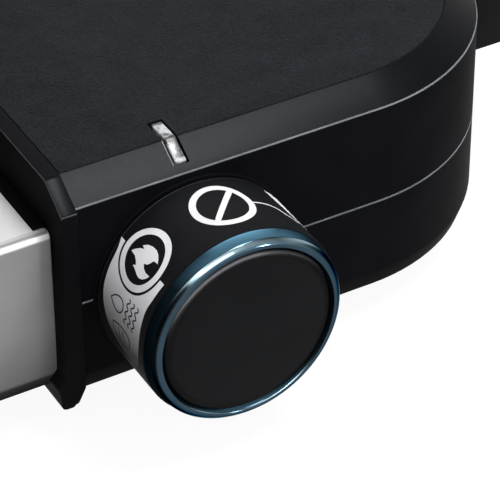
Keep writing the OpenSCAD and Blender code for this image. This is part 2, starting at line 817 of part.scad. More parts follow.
module indicator_board() {
    x = knob_dx + pipe_dx;
    z1 = z_top - pipe_t - panel_t / 2 - move_gap;
    color("#2f5d3a") right_end() union() {
        rod_z(x, led_y, z1 - 4, z1, led_r);
        block(x - 8, x + 8, wall + 0.1, 26, z1 - 5.6, z1 - 4);
        block(x - 8, x - 5.5, bevel_in + rim_w + 0.5, bevel_in + 4.5, z1 - 4, z_roof);
        block(x + 5.5, x + 8, bevel_in + rim_w + 0.5, bevel_in + 4.5, z1 - 4, z_roof);
    }
}

// ---- Drip tray ----

module tray_rails() {
    color("#9b9da0") placed() for (s = [-1, 1]) union() {
        x = box_mid + s * (tray_w / 2 - 6);
        block(x - 6, x + 6, tray_y0 + 12, tray_y1, z_floor, z_floor + rail_h);
        g = box_mid + s * (tray_w / 2 + move_gap + 1.2);
        block(g - 1.2, g + 1.2, tray_y0 + 12, tray_y1, z_floor, z_floor + rail_h + 5);
        block(min(g, x), max(g, x), tray_y0 + 12, tray_y1, z_floor, z_floor + 1.5);
    }
}

module drip_tray() {
    t = tray_t;
    color("#77797c") placed() difference() {
        rblock(tray_x0, tray_x1, tray_y0, tray_y1, 5, tray_z0, tray_z0 + tray_h);
        rblock(tray_x0 + t, tray_x1 - t, tray_y0 + t, tray_y1 - t, 4, tray_z0 + t, tray_z0 + tray_h + 1);
        tray_rivet_holes(screw_r + fastener_gap);
    }
}

function rivet_x() = [for (s = [-1, 1]) box_mid + s * tray_w * 0.36];

module tray_rivet_holes(r) {
    for (x = rivet_x()) rod_y(x, fascia_back - 1, tray_y0 + tray_t + 1, tray_z0 + tray_h / 2, r);
}

module tray_front() {
    color("#b9babd") placed() difference() {
        rblock_y(tray_x0 - side_gap + 0.7, tray_x1 + side_gap - 0.7, window_z0 + 0.7, window_z1 - 0.7, 1.6,
            fascia_back, tray_y0);
        tray_rivet_holes(screw_r + fastener_gap);
    }
}

module tray_rivets() {
    z = tray_z0 + tray_h / 2;
    color("#c8c8c8") placed() for (x = rivet_x()) union() {
        rod_y(x, fascia_back - 0.8, tray_y0 + tray_t + 1, z, screw_r);
        rod_y(x, fascia_back - 0.8, fascia_back, z, screw_head_r);
        rod_y(x, tray_y0 + tray_t, tray_y0 + tray_t + 1, z, screw_head_r);
    }
}

// ---- Grates ----

module grate(x0, x1) {
    y0 = liner_y0 + sheet_t + side_gap / 2;
    y1 = liner_y1 - sheet_t - side_gap / 2;
    z0 = seat_z + move_gap;
    pitch = bar_w + bar_gap;
    inside = x1 - x0 - 2 * grate_rim;
    n = floor((inside - bar_gap) / pitch);
    first = x0 + grate_rim + (inside - (n * pitch - bar_gap)) / 2;
    union() {
        difference() {
            rblock(x0, x1, y0, y1, 5, z0, z0 + grate_h);
            rblock(x0 + grate_rim, x1 - grate_rim, y0 + grate_rim, y1 - grate_rim, 4, z0 - 1, z0 + grate_h + 1);
        }
        for (i = [0:n - 1]) block(first + i * pitch, first + i * pitch + bar_w, y0 + grate_rim / 2,
            y1 - grate_rim / 2, z0, z0 + grate_h - 0.5);
        for (y = [y0 + (y1 - y0) / 3, y0 + (y1 - y0) * 2 / 3]) block(x0 + grate_rim / 2, x1 - grate_rim / 2,
            y - 2.5, y + 2.5, z0, z0 + 4);
    }
}

module grate_left() {
    color("#26272a") placed() grate(liner_x0 + sheet_t + side_gap / 2, box_mid - side_gap / 2);
}

module grate_right() {
    color("#26272a") placed() grate(box_mid + side_gap / 2, liner_x1 - sheet_t - side_gap / 2);
}

// ---- Lid ----

function lid_ring(ins, z) = at_z(rrect(lid_x0 + ins, lid_x1 - ins, lid_y0 + ins, lid_y1 - ins,
    lid_r + ins * 0.35), z);

// Crown of the lid as a stack of rings, shrunk by g for its inner face
module lid_crown(g, z0) {
    base = sheet_t + g;
    loft(concat([lid_ring(base, z0)],
        [for (a = [0:15:90]) lid_ring(base + (dome_in - g) * (1 - cos(a)),
            z_dome + (z_lid_top - g - z_dome) * sin(a))]));
}

// Upright walls of the lid, shrunk by g for their inner face
module lid_walls(g, z0, z1) {
    loft([lid_ring(sheet_t + g, z0), lid_ring(sheet_t + g, z1)]);
}

win_x0 = lid_x0 + sheet_t + dome_in + win_side;
win_x1 = lid_x1 - sheet_t - dome_in - win_side;
win_y0 = lid_y0 + sheet_t + dome_in + win_end;
win_y1 = lid_y1 - sheet_t - dome_in - win_end;
win_r = 18;
seam_h = 2;
post_x = bar_l / 2 - 22;
handle_z = z_dome - 8;
handle_y = lid_y0 + sheet_t - finger_gap - bar_r;
leaf_w = bracket_w + 2 * knuckle_w + 2 * move_gap;
leaf_z0 = z_lid + lid_rim_h + 0.4;
leaf_z1 = leaf_z0 + 24;

function hinge_x() = [box_mid - hinge_dx, box_mid + hinge_dx];

module handle_screw_holes(r) {
    for (s = [-1, 1]) rod_y(box_mid + s * post_x, lid_y0 - 1, lid_y0 + sheet_t + lid_t + 1, handle_z, r);
}

module window_cut(g, z0, z1) {
    rblock(win_x0 - g, win_x1 + g, win_y0 - g, win_y1 + g, win_r + g, z0, z1);
}

module lid_shell() {
    color("#222428") placed() difference() {
        lid_crown(0, z_dome - seam_h);
        lid_crown(lid_t, z_dome - seam_h - 1);
        window_cut(8, z_lid_top - lid_t - 1, z_lid_top + 1);
    }
}

// Upright band under the crown, brazed to it all round
module lid_skirt() {
    color("#222428") placed() difference() {
        lid_walls(0, z_lid_shell, z_dome - seam_h);
        lid_walls(lid_t, z_lid_shell - 1, z_dome);
        handle_screw_holes(screw_r + 0.8 + fastener_gap);
        for (x = hinge_x()) leaf_rivet_holes(x, screw_r + fastener_gap);
        for (i = [-3:3]) block(box_mid + i * 12 - 2.5, box_mid + i * 12 + 2.5, lid_y1 - 8, lid_y1 + 1,
            z_dome - 18, z_dome - 6);
    }
}

module lid_rim() {
    t = sheet_t;
    color("#b9babd") placed() difference() {
        rblock(lid_x0, lid_x1, lid_y0, lid_y1, lid_r, z_lid, z_lid + lid_rim_h);
        rblock(lid_x0 + t, lid_x1 - t, lid_y0 + t, lid_y1 - t, lid_r + t * 0.35, z_lid_shell, z_lid + lid_rim_h + 1);
        rblock(lid_x0 + t + 3, lid_x1 - t - 3, lid_y0 + t + 3, lid_y1 - t - 3, lid_r - 2, z_lid - 1, z_lid_shell + 1);
    }
}

module lid_glass() {
    color("#3a4046", 0.5) placed() window_cut(6, z_lid_top - lid_t / 2 - glass_t / 2, z_lid_top - lid_t / 2 + glass_t / 2);
}

module window_gasket() {
    mid = z_lid_top - lid_t / 2;
    color("#151515") placed() difference() {
        window_cut(11, mid - glass_t / 2 - 1.2, mid + glass_t / 2 + 1.2);
        window_cut(2, mid - glass_t, mid + glass_t);
        window_cut(6, mid - glass_t / 2, mid + glass_t / 2);
        difference() {
            window_cut(30, mid - lid_t / 2, mid + lid_t / 2);
            window_cut(8, mid - lid_t, mid + lid_t);
        }
    }
}

module window_bezel() {
    z = z_lid_top - lid_t / 2 + glass_t / 2 + 1.2;
    color("#b9babd") placed() difference() {
        window_cut(12.2, z - 2.2, z + sheet_t);
        window_cut(11 + fastener_gap / 2, z - 3, z);
        window_cut(1, z - 1, z + sheet_t + 1);
    }
}

module lid_bumpers() {
    color("#3a3a3a") placed() for (x = [lid_x0 + 40, lid_x1 - 40], y = [lid_y0 + 2.1, lid_y1 - 2.1])
        rod_z(x, y, fascia_top + move_gap, z_lid, 2);
}

module lid_handle_bar() {
    color("#17181a") placed() difference() {
        rod_x(box_mid - bar_l / 2, box_mid + bar_l / 2, handle_y, handle_z, bar_r);
        for (s = [-1, 1]) rod_y(box_mid + s * post_x, handle_y + 2, handle_y + bar_r + 2, handle_z, 5);
    }
}

module lid_handle_posts() {
    back = lid_y0 + sheet_t;
    color("#b9babd") placed() for (s = [-1, 1]) difference() {
        union() {
            rod_y(box_mid + s * post_x, handle_y + 2, back, handle_z, 5);
            rod_y(box_mid + s * post_x, back - 2, back, handle_z, 9);
        }
        rod_y(box_mid + s * post_x, back - 14, back + 1, handle_z, screw_r + 0.8);
    }
}

module lid_handle_screws() {
    inner = lid_y0 + sheet_t + lid_t;
    color("silver") placed() for (s = [-1, 1]) union() {
        rod_y(box_mid + s * post_x, inner - 12, inner + 2.4, handle_z, screw_r + 0.8);
        rod_y(box_mid + s * post_x, inner, inner + 2.4, handle_z, 4.6);
    }
}

// Leaf with two knuckles, carried by the lid's rear wall
module lid_hinge_leaves() {
    wall_y = lid_y1 - sheet_t;
    color("#9b9da0") placed() for (x = hinge_x()) difference() {
        union() {
            block(x - leaf_w / 2, x + leaf_w / 2, wall_y, wall_y + 2, leaf_z0, leaf_z1);
            for (s = [-1, 1]) {
                xs = x + s * (bracket_w / 2 + move_gap + knuckle_w / 2);
                rod_x(xs - knuckle_w / 2, xs + knuckle_w / 2, hinge_y, hinge_z, knuckle_r);
                translate([xs - knuckle_w / 2, 0, 0]) rotate([90, 0, 90]) linear_extrude(knuckle_w)
                    polygon([[wall_y, leaf_z0], [lid_y1 + move_gap, leaf_z0], [hinge_y - knuckle_r * 0.6, hinge_z - 2],
                        [hinge_y + knuckle_r * 0.7, hinge_z + knuckle_r * 0.7], [wall_y + 2, leaf_z1], [wall_y, leaf_z1]]);
            }
        }
        rod_x(x - leaf_w, x + leaf_w, hinge_y, hinge_z, pin_r + 0.02);
        leaf_rivet_holes(x, screw_r + fastener_gap);
    }
}

module leaf_rivet_holes(x, r) {
    for (s = [-1, 1]) rod_y(x + s * 2.8, lid_y1 - sheet_t - lid_t - 1, lid_y1 + 3, leaf_z0 + (s + 2) * 6, r);
}

module leaf_rivets() {
    y0 = lid_y1 - sheet_t - lid_t;
    y1 = lid_y1 - sheet_t + 2;
    color("silver") placed() for (x = hinge_x(), s = [-1, 1]) {
        z = leaf_z0 + (s + 2) * 6;
        rod_y(x + s * 2.8, y0 - 1, y1 + 1, z, screw_r);
        rod_y(x + s * 2.8, y0 - 1, y0, z, screw_head_r - 0.6);
        rod_y(x + s * 2.8, y1, y1 + 1, z, screw_head_r - 0.6);
    }
}

module hinge_pins() {
    color("#d0d0d0") placed() for (x = hinge_x()) union() {
        rod_x(x - leaf_w / 2, x + leaf_w / 2 + 1, hinge_y, hinge_z, pin_r);
        rod_x(x - leaf_w / 2 - 1.6, x - leaf_w / 2, hinge_y, hinge_z, pin_r + 1.4);
    }
}

module hinge_brackets() {
    color("#2a2b2e") placed() for (x = hinge_x()) difference() {
        union() {
            rod_x(x - bracket_w / 2, x + bracket_w / 2, hinge_y, hinge_z, knuckle_r);
            block(x - bracket_w / 2, x + bracket_w / 2, hinge_y - knuckle_r, hinge_y + knuckle_r, z_deck, hinge_z);
        }
        rod_x(x - bracket_w, x + bracket_w, hinge_y, hinge_z, pin_r + run_gap);
    }
}

// ---- Feet, screws and side handles ----

module foot_set(w) {
    for (p = foot_xy(w)) union() {
        rod_z(p[0], p[1], 0, foot_h, foot_r);
        rod_z(p[0], p[1], foot_h, z_floor, foot_r / 2);
        rod_z(p[0], p[1], z_floor, z_floor + 1.5, foot_r / 2 + 1.2);
    }
}

module rubber_feet() {
    color("#0d0d0e") {
        right_end() foot_set(ctrl_w);
        left_end() foot_set(end_w);
    }
}

module housing_screw_set(w) {
    for (p = post_xy(w)) union() {
        rod_z(p[0], p[1], foot_h + 3.6, z_part + 12, screw_r);
        rod_z(p[0], p[1], foot_h + 3.6, foot_h + 6, screw_head_r);
    }
}

module housing_screws() {
    color("silver") {
        right_end() housing_screw_set(ctrl_w);
        left_end() housing_screw_set(end_w);
    }
}

grip_screw_y = [corner_r + 4.3, grip_y0 + grip_l - 8];

function grip_mid_z() = grip_z0 + grip_h / 2;

module grip_screw_holes(w) {
    for (y = grip_screw_y) rod_x(w - wall - 4, w + 1, y, grip_mid_z(), screw_r + fastener_gap);
}

// Loop handle on the outer wall of an end housing
module side_grip(w) {
    y1 = grip_y0 + grip_l;
    difference() {
        translate([0, 0, grip_z0]) linear_extrude(grip_h) difference() {
            polygon(concat([[w, grip_y0]], arc(w + grip_out - 16, grip_y0 + 16, 16, -90, 0, 8),
                arc(w + grip_out - 16, y1 - 16, 16, 0, 90, 8), [[w, y1]]));
            polygon(concat([[w - 1, grip_y0 + grip_t + 4]],
                arc(w + grip_out - grip_t - 8, grip_y0 + grip_t + 12, 8, -90, 0, 6),
                arc(w + grip_out - grip_t - 8, y1 - grip_t - 12, 8, 0, 90, 6), [[w - 1, y1 - grip_t - 4]]));
            // The foot of the handle follows the corner's curve
            polygon(end_outline(w, 0, w - corner_r));
        }
        for (y = grip_screw_y) rod_x(w - 2, w + 12, y, grip_mid_z(), screw_r);
    }
}

module side_handle_right() {
    color("#131416") right_end() side_grip(ctrl_w);
}

module side_handle_left() {
    color("#131416") left_end() side_grip(end_w);
}

module grip_screw_set(w) {
    for (y = grip_screw_y) union() {
        rod_x(w - wall - 2.2, w + 11, y, grip_mid_z(), screw_r);
        rod_x(w - wall - 2.2, w - wall, y, grip_mid_z(), screw_head_r);
    }
}

module side_handle_screws() {
    color("silver") {
        right_end() grip_screw_set(ctrl_w);
        left_end() grip_screw_set(end_w);
    }
}

// ---- Drawing ----

base_pan();
cookbox_liner();
front_fascia();
shelf_end_strips();
right_cheek();
left_cheek();
control_upper_shell();
control_lower_shell();
control_top_panel();
end_upper_shell();
end_lower_shell();
end_top_panel();
light_pipe();
indicator_board();
control_board();
rotary_switch();
switch_nut();
knob_seat_plate();
element_tube();
element_terminals();
element_brackets();
thermal_cutout();
heater_leads();
supply_leads();
cord_bush();
tray_rails();
hinge_brackets();
rubber_feet();
housing_screws();
cheek_screws();
side_handle_right();
side_handle_left();
side_handle_screws();
switch_shaft();
knob_sleeve();
knob_ring();
knob_cap();
knob_spring();
drip_tray();
tray_front();
tray_rivets();
grate_left();
grate_right();
lid_shell();
lid_skirt();
lid_rim();
lid_glass();
window_gasket();
window_bezel();
lid_bumpers();
lid_handle_bar();
lid_handle_posts();
lid_handle_screws();
lid_hinge_leaves();
leaf_rivets();
hinge_pins();
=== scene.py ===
"""Finished pieces and materials of a countertop grill, built round its CAD frame."""

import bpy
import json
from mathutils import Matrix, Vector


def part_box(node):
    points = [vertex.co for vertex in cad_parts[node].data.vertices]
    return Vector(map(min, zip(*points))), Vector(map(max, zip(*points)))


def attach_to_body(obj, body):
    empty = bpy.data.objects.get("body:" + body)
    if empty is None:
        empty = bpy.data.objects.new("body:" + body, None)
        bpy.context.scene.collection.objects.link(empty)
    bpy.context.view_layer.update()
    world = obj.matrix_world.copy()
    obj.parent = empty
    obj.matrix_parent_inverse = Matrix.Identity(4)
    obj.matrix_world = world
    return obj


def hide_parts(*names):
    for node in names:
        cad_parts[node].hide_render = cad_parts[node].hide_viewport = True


bl_info = {
    "name": "Countertop Grill with Lid",
    "version": (1, 0, 0),
    "blender": (4, 5, 0),
    "location": "3D View > Sidebar > Grill",
    "description": "Builds the finished pieces, materials and studio of a countertop grill",
    "category": "Add Mesh",
}

import json
import math
from contextlib import contextmanager

import bmesh
import bpy
from bpy.props import FloatProperty, FloatVectorProperty, IntProperty, PointerProperty
from bpy.types import Operator, Panel, PropertyGroup
from mathutils import Matrix, Vector
from mathutils.geometry import delaunay_2d_cdt

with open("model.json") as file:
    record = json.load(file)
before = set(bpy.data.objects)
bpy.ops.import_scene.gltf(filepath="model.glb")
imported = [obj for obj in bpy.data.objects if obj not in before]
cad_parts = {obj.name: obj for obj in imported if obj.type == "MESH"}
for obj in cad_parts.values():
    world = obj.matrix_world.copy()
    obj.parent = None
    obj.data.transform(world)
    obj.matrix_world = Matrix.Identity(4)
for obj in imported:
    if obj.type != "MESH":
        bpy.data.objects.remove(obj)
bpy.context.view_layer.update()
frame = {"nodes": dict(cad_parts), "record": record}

MM = 0.001
# Edges sharper than this many degrees stay sharp when a piece is shaded smooth
SHARP = 32.0
# Corners of a CAD mesh closer than this many metres are one corner
WELD = 2e-6
SLOT_OF = {row["node"]: row["material_slot"] for row in frame["record"]["subparts"]}
BODY_OF = {
    node: body for body, nodes in frame["record"]["behaviour"]["bodies"].items() for node in nodes
}


def node_box(node):
    """Lowest and highest corner of a CAD node in millimetres."""
    low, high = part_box(node)
    return [c / MM for c in low], [c / MM for c in high]


CTRL_LOW, CTRL_HIGH = node_box("control_upper_shell")
END_LOW, END_HIGH = node_box("end_upper_shell")
LOWER_LOW, _ = node_box("control_lower_shell")
PANEL_LOW, _ = node_box("control_top_panel")
LIGHT_LOW, LIGHT_HIGH = node_box("light_pipe")
CHEEK_LOW, _ = node_box("right_cheek")
FASCIA_LOW, FASCIA_HIGH = node_box("front_fascia")
SLEEVE_LOW, SLEEVE_HIGH = node_box("knob_sleeve")
RING_LOW, RING_HIGH = node_box("knob_ring")
SKIRT_LOW, SKIRT_HIGH = node_box("lid_skirt")
CROWN_LOW, CROWN_HIGH = node_box("lid_shell")
RIM_LOW, RIM_HIGH = node_box("lid_rim")
GLASS_LOW, GLASS_HIGH = node_box("lid_glass")
BEZEL_LOW, BEZEL_HIGH = node_box("window_bezel")
STRIP_LOW, STRIP_HIGH = node_box("shelf_end_strips")

CTRL_X = CTRL_LOW[0]
END_X = END_HIGH[0]
FRONT_Y = CTRL_LOW[1]
DEPTH = CTRL_HIGH[1] - CTRL_LOW[1]
FOOT_Z = LOWER_LOW[2]
PART_Z = CTRL_LOW[2]
TOP_Z = CTRL_HIGH[2]
LEDGE_Z = PANEL_LOW[2]
KNOB_X = (SLEEVE_LOW[0] + SLEEVE_HIGH[0]) / 2
KNOB_Z = (SLEEVE_LOW[2] + SLEEVE_HIGH[2]) / 2
KNOB_R = (SLEEVE_HIGH[0] - SLEEVE_LOW[0]) / 2
KNOB_OUT = FRONT_Y - RING_LOW[1]
RING_BACK = FRONT_Y - RING_HIGH[1]
# How much further out the control housing's outer wall and its loop handle stand than their
# solids, and how much lower the handle is, in millimetres
OUTER_SHIFT = 1.0
HANDLE_DROP = 1.3
BOX_MID = (FASCIA_LOW[0] + FASCIA_HIGH[0]) / 2
# Gap between a housing and its cheek plate, how far the plate's nose leans in over its height,
# and the height at which its keel starts to taper, in millimetres
CHEEK_GAP = 0.1
NOSE_LEAN = 1.3
KEEL_Z = 12.4
# Radius of the knob's hole in the shells, and radius of a screw post with its distances from
# the cheek plate and from the front or back wall, in millimetres
KNOB_HOLE_R = 11.1
POST_R = 4.2
POST_X = 8.8
POST_Y = 16
# Radius of the bright ring's outer wall, heights of its crest and of the matte face's lip, how
# deep the printed ink reaches into the sleeve, and facets round the knob
RING_R = KNOB_R - 0.3
RING_CREST = KNOB_OUT - 0.9
FACE_LIP = KNOB_OUT - 1.15
INK_SINK = 0.02
KNOB_STEPS = 180
# Inset of the lid's wall from its rim
LID_INSET = 1.2
# Place along Y and height of the light pipe's lower end on the bevel
LIGHT_END = (FRONT_Y + 2.45, TOP_Z - 3.68)


FINISHES = {}


# ---- Settings ----


def length(name, description, millimetres):
    return FloatProperty(
        name=name, description=description, default=millimetres * MM, min=0.0, precision=5,
        subtype="DISTANCE", unit="LENGTH",
    )


def colour(name, description, rgb):
    return FloatVectorProperty(
        name=name, description=description, default=rgb, size=3, min=0.0, max=1.0, subtype="COLOR"
    )


def level(name, description, value, lowest=0.0):
    return FloatProperty(name=name, description=description, default=value, min=lowest)


class GRILL_PG_housing(PropertyGroup):
    corner_radius: length("Corner radius", "Radius of the outer corners seen from above", 52.7)
    bevel_depth: length("Bevel depth", "Depth of the bevel round the top", 8.4)
    bevel_height: length("Bevel height", "Height of the bevel round the top", 5.2)
    wall: length("Wall", "Wall of the plastic shells", 2.6)
    tuck_height: length("Tuck height", "Height of the tucked-in lower edge", 5.3)
    tuck_depth: length("Tuck depth", "Depth of the tucked-in lower edge", 1.8)
    # The parting line is light from a painted highlight
    line_height: length("Parting line", "Height of the bright parting line", 0.5)
    panel_gap: length("Panel gap", "Gap between the bevel and the top panel", 0.15)
    sheet: length("Sheet", "Thickness of the steel fascia", 1.2)


class GRILL_PG_knob(PropertyGroup):
    seat_radius: length("Seat radius", "Radius of the seat ring behind the knob", 28.1)
    sleeve_wall: length("Sleeve wall", "Wall of the knob's sleeve", 2.0)
    ring_width: length("Ring width", "Width of the bright ring seen from the front", 3.2)
    groove: length("Groove", "Gap between the bright ring and the cap", 0.3)
    symbol_radius: length("Symbol radius", "Outer radius of the printed rings", 8.15)
    symbol_stroke: length("Symbol stroke", "Stroke of the printed rings", 1.75)
    print_lift: length("Print lift", "Thickness of the printed ink", 0.05)


class GRILL_PG_lid(PropertyGroup):
    dome_run: length("Dome run", "Inward run of the lid's dome", 44.0)
    metal: length("Metal", "Thickness of the lid's metal", 2.0)
    corner_radius: length("Corner radius", "Corner radius of the lid at its rim", 20.0)
    window_radius: length("Window radius", "Corner radius of the lid's window", 18.0)
    bar_radius: length("Bar radius", "Radius of the lid's handle", 8.5)
    bars: IntProperty(
        name="Grate bars", description="Number of bars in one grate", default=11, min=3, max=30
    )
    bar_width: length("Bar width", "Width of a grate's bars", 4.6)


class GRILL_PG_finish(PropertyGroup):
    housing: colour("Housing", "Matte black of the housings", (0.0038, 0.0040, 0.0048))
    bevel: colour("Bevel", "Satin black of the bevels", (0.0018, 0.002, 0.0026))
    # Painted highlight along the rounded edges, the parting line and the light pipe's slot
    line: colour("Edge line", "Burnished line along the edges", (0.13, 0.14, 0.15))
    panel: colour("Panel", "Grained black of the top panels", (0.0102, 0.0120, 0.0143))
    # Base of the fascia's steel, under its painted reflection and shade
    steel: colour("Steel", "Brushed steel of the fascia", (0.19, 0.188, 0.19))
    # Base of the ring's chrome, under its painted reflection and highlight streak
    ring: colour("Ring", "Blue chrome of the knob's ring", (0.036, 0.062, 0.083))
    ink: colour("Ink", "Light ink printed on the knob", (0.74, 0.74, 0.76))
    lid: colour("Lid", "Enamel of the lid", (0.009, 0.0093, 0.0102))


class GRILL_PG_stage(PropertyGroup):
    ambient: level("Ambient", "Level of the soft light from all sides", 0.45)
    key: level("Key", "Power of the overhead softbox in watts", 1.6)
    back: level("Back", "Power of the rear softbox in watts", 4.8)
    fill: level("Fill", "Power of the side softbox in watts", 3.6)
    accent: level("Accent", "Power of the small overhead light in watts", 3.9)
    strip: level("Strip", "Power of the long light in front in watts", 1.0)
    glint: level("Glint", "Power of the thin light in front in watts", 0.6)
    spot: level("Spot", "Power of the small light at the right in watts", 1.2)
    lens: level("Lens", "Focal length in millimetres", 205.34, 1.0)


SETTINGS = {
    "grill_housing": GRILL_PG_housing,
    "grill_knob": GRILL_PG_knob,
    "grill_lid": GRILL_PG_lid,
    "grill_finish": GRILL_PG_finish,
    "grill_stage": GRILL_PG_stage,
}


def sizes(group):
    """Lengths of a settings group in millimetres, by name."""
    values = getattr(bpy.context.scene, group)
    return {key: getattr(values, key) / MM for key in SETTINGS[group].__annotations__}


def paint(name):
    return tuple(getattr(bpy.context.scene.grill_finish, name))


# ---- Mesh tools ----


def new_object(name, data):
    made = bpy.data.objects.new(name, data)
    bpy.context.scene.collection.objects.link(made)
    return made


def mesh_object(name, verts, faces, bands=None):
    """Object from points in millimetres; the bands are the faces' material indices."""
    mesh = bpy.data.meshes.new(name)
    mesh.from_pydata([tuple(c * MM for c in v) for v in verts], [], faces)
    if bands:
        for _ in range(max(bands) + 1):
            mesh.materials.append(FINISHES["housing_black"])
        mesh.polygons.foreach_set("material_index", bands)
    return new_object(name, mesh)


def smooth(piece, angle=SHARP):
    """Shades a piece smooth, with its edges sharp past the angle."""
    piece.data.polygons.foreach_set("use_smooth", [True] * len(piece.data.polygons))
    piece.data.set_sharp_from_angle(angle=math.radians(angle))
    return piece


@contextmanager
def edited(mesh):
    """Lends a mesh as a bmesh and writes it back."""
    shape = bmesh.new()
    shape.from_mesh(mesh)
    yield shape
    shape.to_mesh(mesh)
    shape.free()


def tidy_mesh(piece, angle=SHARP, outwards=True):
    """Merges doubles, turns the faces outwards and shades smooth up to the angle."""
    with edited(piece.data) as shape:
        bmesh.ops.remove_doubles(shape, verts=shape.verts, dist=1e-6)
        if outwards:
            bmesh.ops.recalc_face_normals(shape, faces=shape.faces)
    return smooth(piece, angle)


def apply_modifiers(piece):
    """Turns the modified shape into the piece's own mesh."""
    bpy.context.view_layer.update()
    depsgraph = bpy.context.evaluated_depsgraph_get()
    shaped = bpy.data.meshes.new_from_object(piece.evaluated_get(depsgraph))
    name = piece.data.name
    piece.modifiers.clear()
    piece.data = shaped
    shaped.name = name
    return piece


def cut(piece, *cutters):
    """Cuts closed shapes out of a piece and removes them."""
    for cutter in cutters:
        modifier = piece.modifiers.new("cut", "BOOLEAN")
        modifier.operation = "DIFFERENCE"
        modifier.solver = "EXACT"
        modifier.object = cutter
    apply_modifiers(piece)
    for cutter in cutters:
        bpy.data.objects.remove(cutter)
    return piece


def round_edges(piece, width, segments, angle):
    modifier = piece.modifiers.new("edges", "BEVEL")
    modifier.width = width * MM
    modifier.segments = segments
    modifier.limit_method = "ANGLE"
    modifier.angle_limit = math.radians(angle)
    modifier.use_clamp_overlap = True
    modifier.miter_outer = "MITER_ARC"
    return apply_modifiers(piece)


def attach(piece, body, slot, *finishes):
    """Gives a piece its body and the finishes that its faces are marked for; the slot is not used.
    """
    if not piece.data.polygons:
        raise RuntimeError(piece.name + " has no faces")
    marks = [min(face.material_index, len(finishes) - 1) for face in piece.data.polygons]
    piece.data.materials.clear()
    for name in finishes:
        piece.data.materials.append(FINISHES[name])
    piece.data.polygons.foreach_set("material_index", marks)
    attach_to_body(piece, body)


def dress(piece, node, *finishes):
    """Puts a piece in the place of its CAD node, with the node's body and finish."""
    attach(piece, BODY_OF[node], SLOT_OF[node], *(finishes or [SLOT_OF[node]]))
    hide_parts(node)


def arc(cx, cy, radius, start, end, steps):
    turns = [math.radians(start + (end - start) * i / steps) for i in range(steps + 1)]
    return [(cx + radius * math.cos(a), cy + radius * math.sin(a)) for a in turns]


def circle(cx, cy, radius, steps):
    return arc(cx, cy, radius, 0, 360, steps)[:-1]


def round_rect(x0, x1, y0, y1, radius, steps):
    """Rectangle with round corners, anticlockwise from its lower right one."""
    left, right, front, back = x0 + radius, x1 - radius, y0 + radius, y1 - radius
    corners = ((right, front), (right, back), (left, back), (left, front))
    return [
        p for i, corner in enumerate(corners)
        for p in arc(*corner, radius, 90 * i - 90, 90 * i, steps)
    ]


def loft(name, rings, tube=False, bands=None):
    """Skin through rings of the same count: capped at both ends, or closed into a tube."""
    count, rows = len(rings[0]), len(rings)
    bands = bands or [0] * rows
    faces, marks = [], []
    for row in range(rows if tube else rows - 1):
        a, b = row * count, (row + 1) % rows * count
        for i in range(count):
            j = (i + 1) % count
            faces.append((a + i, a + j, b + j, b + i))
            marks.append(bands[row])
    if not tube:
        faces += [tuple(reversed(range(count))), tuple(range((rows - 1) * count, rows * count))]
        marks += [bands[0], bands[-1]]
    return tidy_mesh(mesh_object(name, [v for ring in rings for v in ring], faces, marks))


def at_height(outline, z):
    return [(x, y, z) for x, y in outline]


def turned(profile, steps, place, bands=None):
    """Points, faces and marks of a turned shape; place gives a point of a turn and a step."""
    count = len(profile)
    verts = [place(2 * math.pi * i / steps, r, d) for i in range(steps) for r, d in profile]
    faces, marks = [], []
    for i in range(steps):
        a, b = i * count, (i + 1) % steps * count
        for k in range(count):
            m = (k + 1) % count
            if profile[k][0] or profile[m][0]:
                faces.append((a + k, b + k, b + m, a + m))
                marks.append(bands[k] if bands else 0)
    return verts, faces, marks


def revolve(name, profile, steps=144, bands=None):
    """Turned shape about the knob's axis from (radius, distance in front of the face) points."""
    place = lambda a, r, d: (KNOB_X + r * math.sin(a), FRONT_Y - d, KNOB_Z + r * math.cos(a))
    return tidy_mesh(mesh_object(name, *turned(profile, steps, place, bands)))


def prism(name, outline, axis, start, end, edge=0.0, steps=2):
    """Straight block on an outline of the two other axes, with its end edges rounded inwards."""
    stops = [(start, 0.0), (end, 0.0)]
    if edge:
        turns = quarter(steps)
        near = [(start + edge * (1 - math.cos(t)), edge * (1 - math.sin(t))) for t in turns]
        stops = near + [(start + end - place, inset) for place, inset in reversed(near)]
    rings = [
        [spread(p, axis, place) for p in inset_outline(outline, inset)]
        for place, inset in stops
    ]
    return loft(name, rings)


def quarter(steps):
    return [math.pi / 2 * i / steps for i in range(steps + 1)]


def spread(point, axis, place):
    """Point in 3D from its two coordinates and its place along the axis."""
    u, v = point
    return {"X": (place, u, v), "Y": (u, place, v), "Z": (u, v, place)}[axis]


def inset_outline(outline, inset):
    """Outline moved inwards by the inset, edge by edge."""
    if not inset:
        return list(outline)
    following = outline[1:] + outline[:1]
    side = 1 if sum(a[0] * b[1] - b[0] * a[1] for a, b in zip(outline, following)) > 0 else -1
    moved = []
    for a, b, c in zip(outline[-1:] + outline[:-1], outline, following):
        u = Vector((b[0] - a[0], b[1] - a[1])).normalized()
        v = Vector((c[0] - b[0], c[1] - b[1])).normalized()
        normal = Vector((-u.y - v.y, u.x + v.x))
        if normal.length < 1e-6:
            normal = Vector((-u.y, u.x))
        normal.normalize()
        reach = inset / max(0.35, normal.dot(Vector((-u.y, u.x))))
        moved.append((b[0] + side * reach * normal.x, b[1] + side * reach * normal.y))
    return moved


def block(name, low, high):
    """Plain cutter between two corners."""
    outline = [(low[0], low[1]), (high[0], low[1]), (high[0], high[1]), (low[0], high[1])]
    return loft(name, [at_height(outline, z) for z in (low[2], high[2])])


def rod(name, axis, centre, start, end, radius, steps):
    outline = circle(*centre, radius, steps)
    return loft(name, [[spread(p, axis, place) for p in outline] for place in (start, end)])


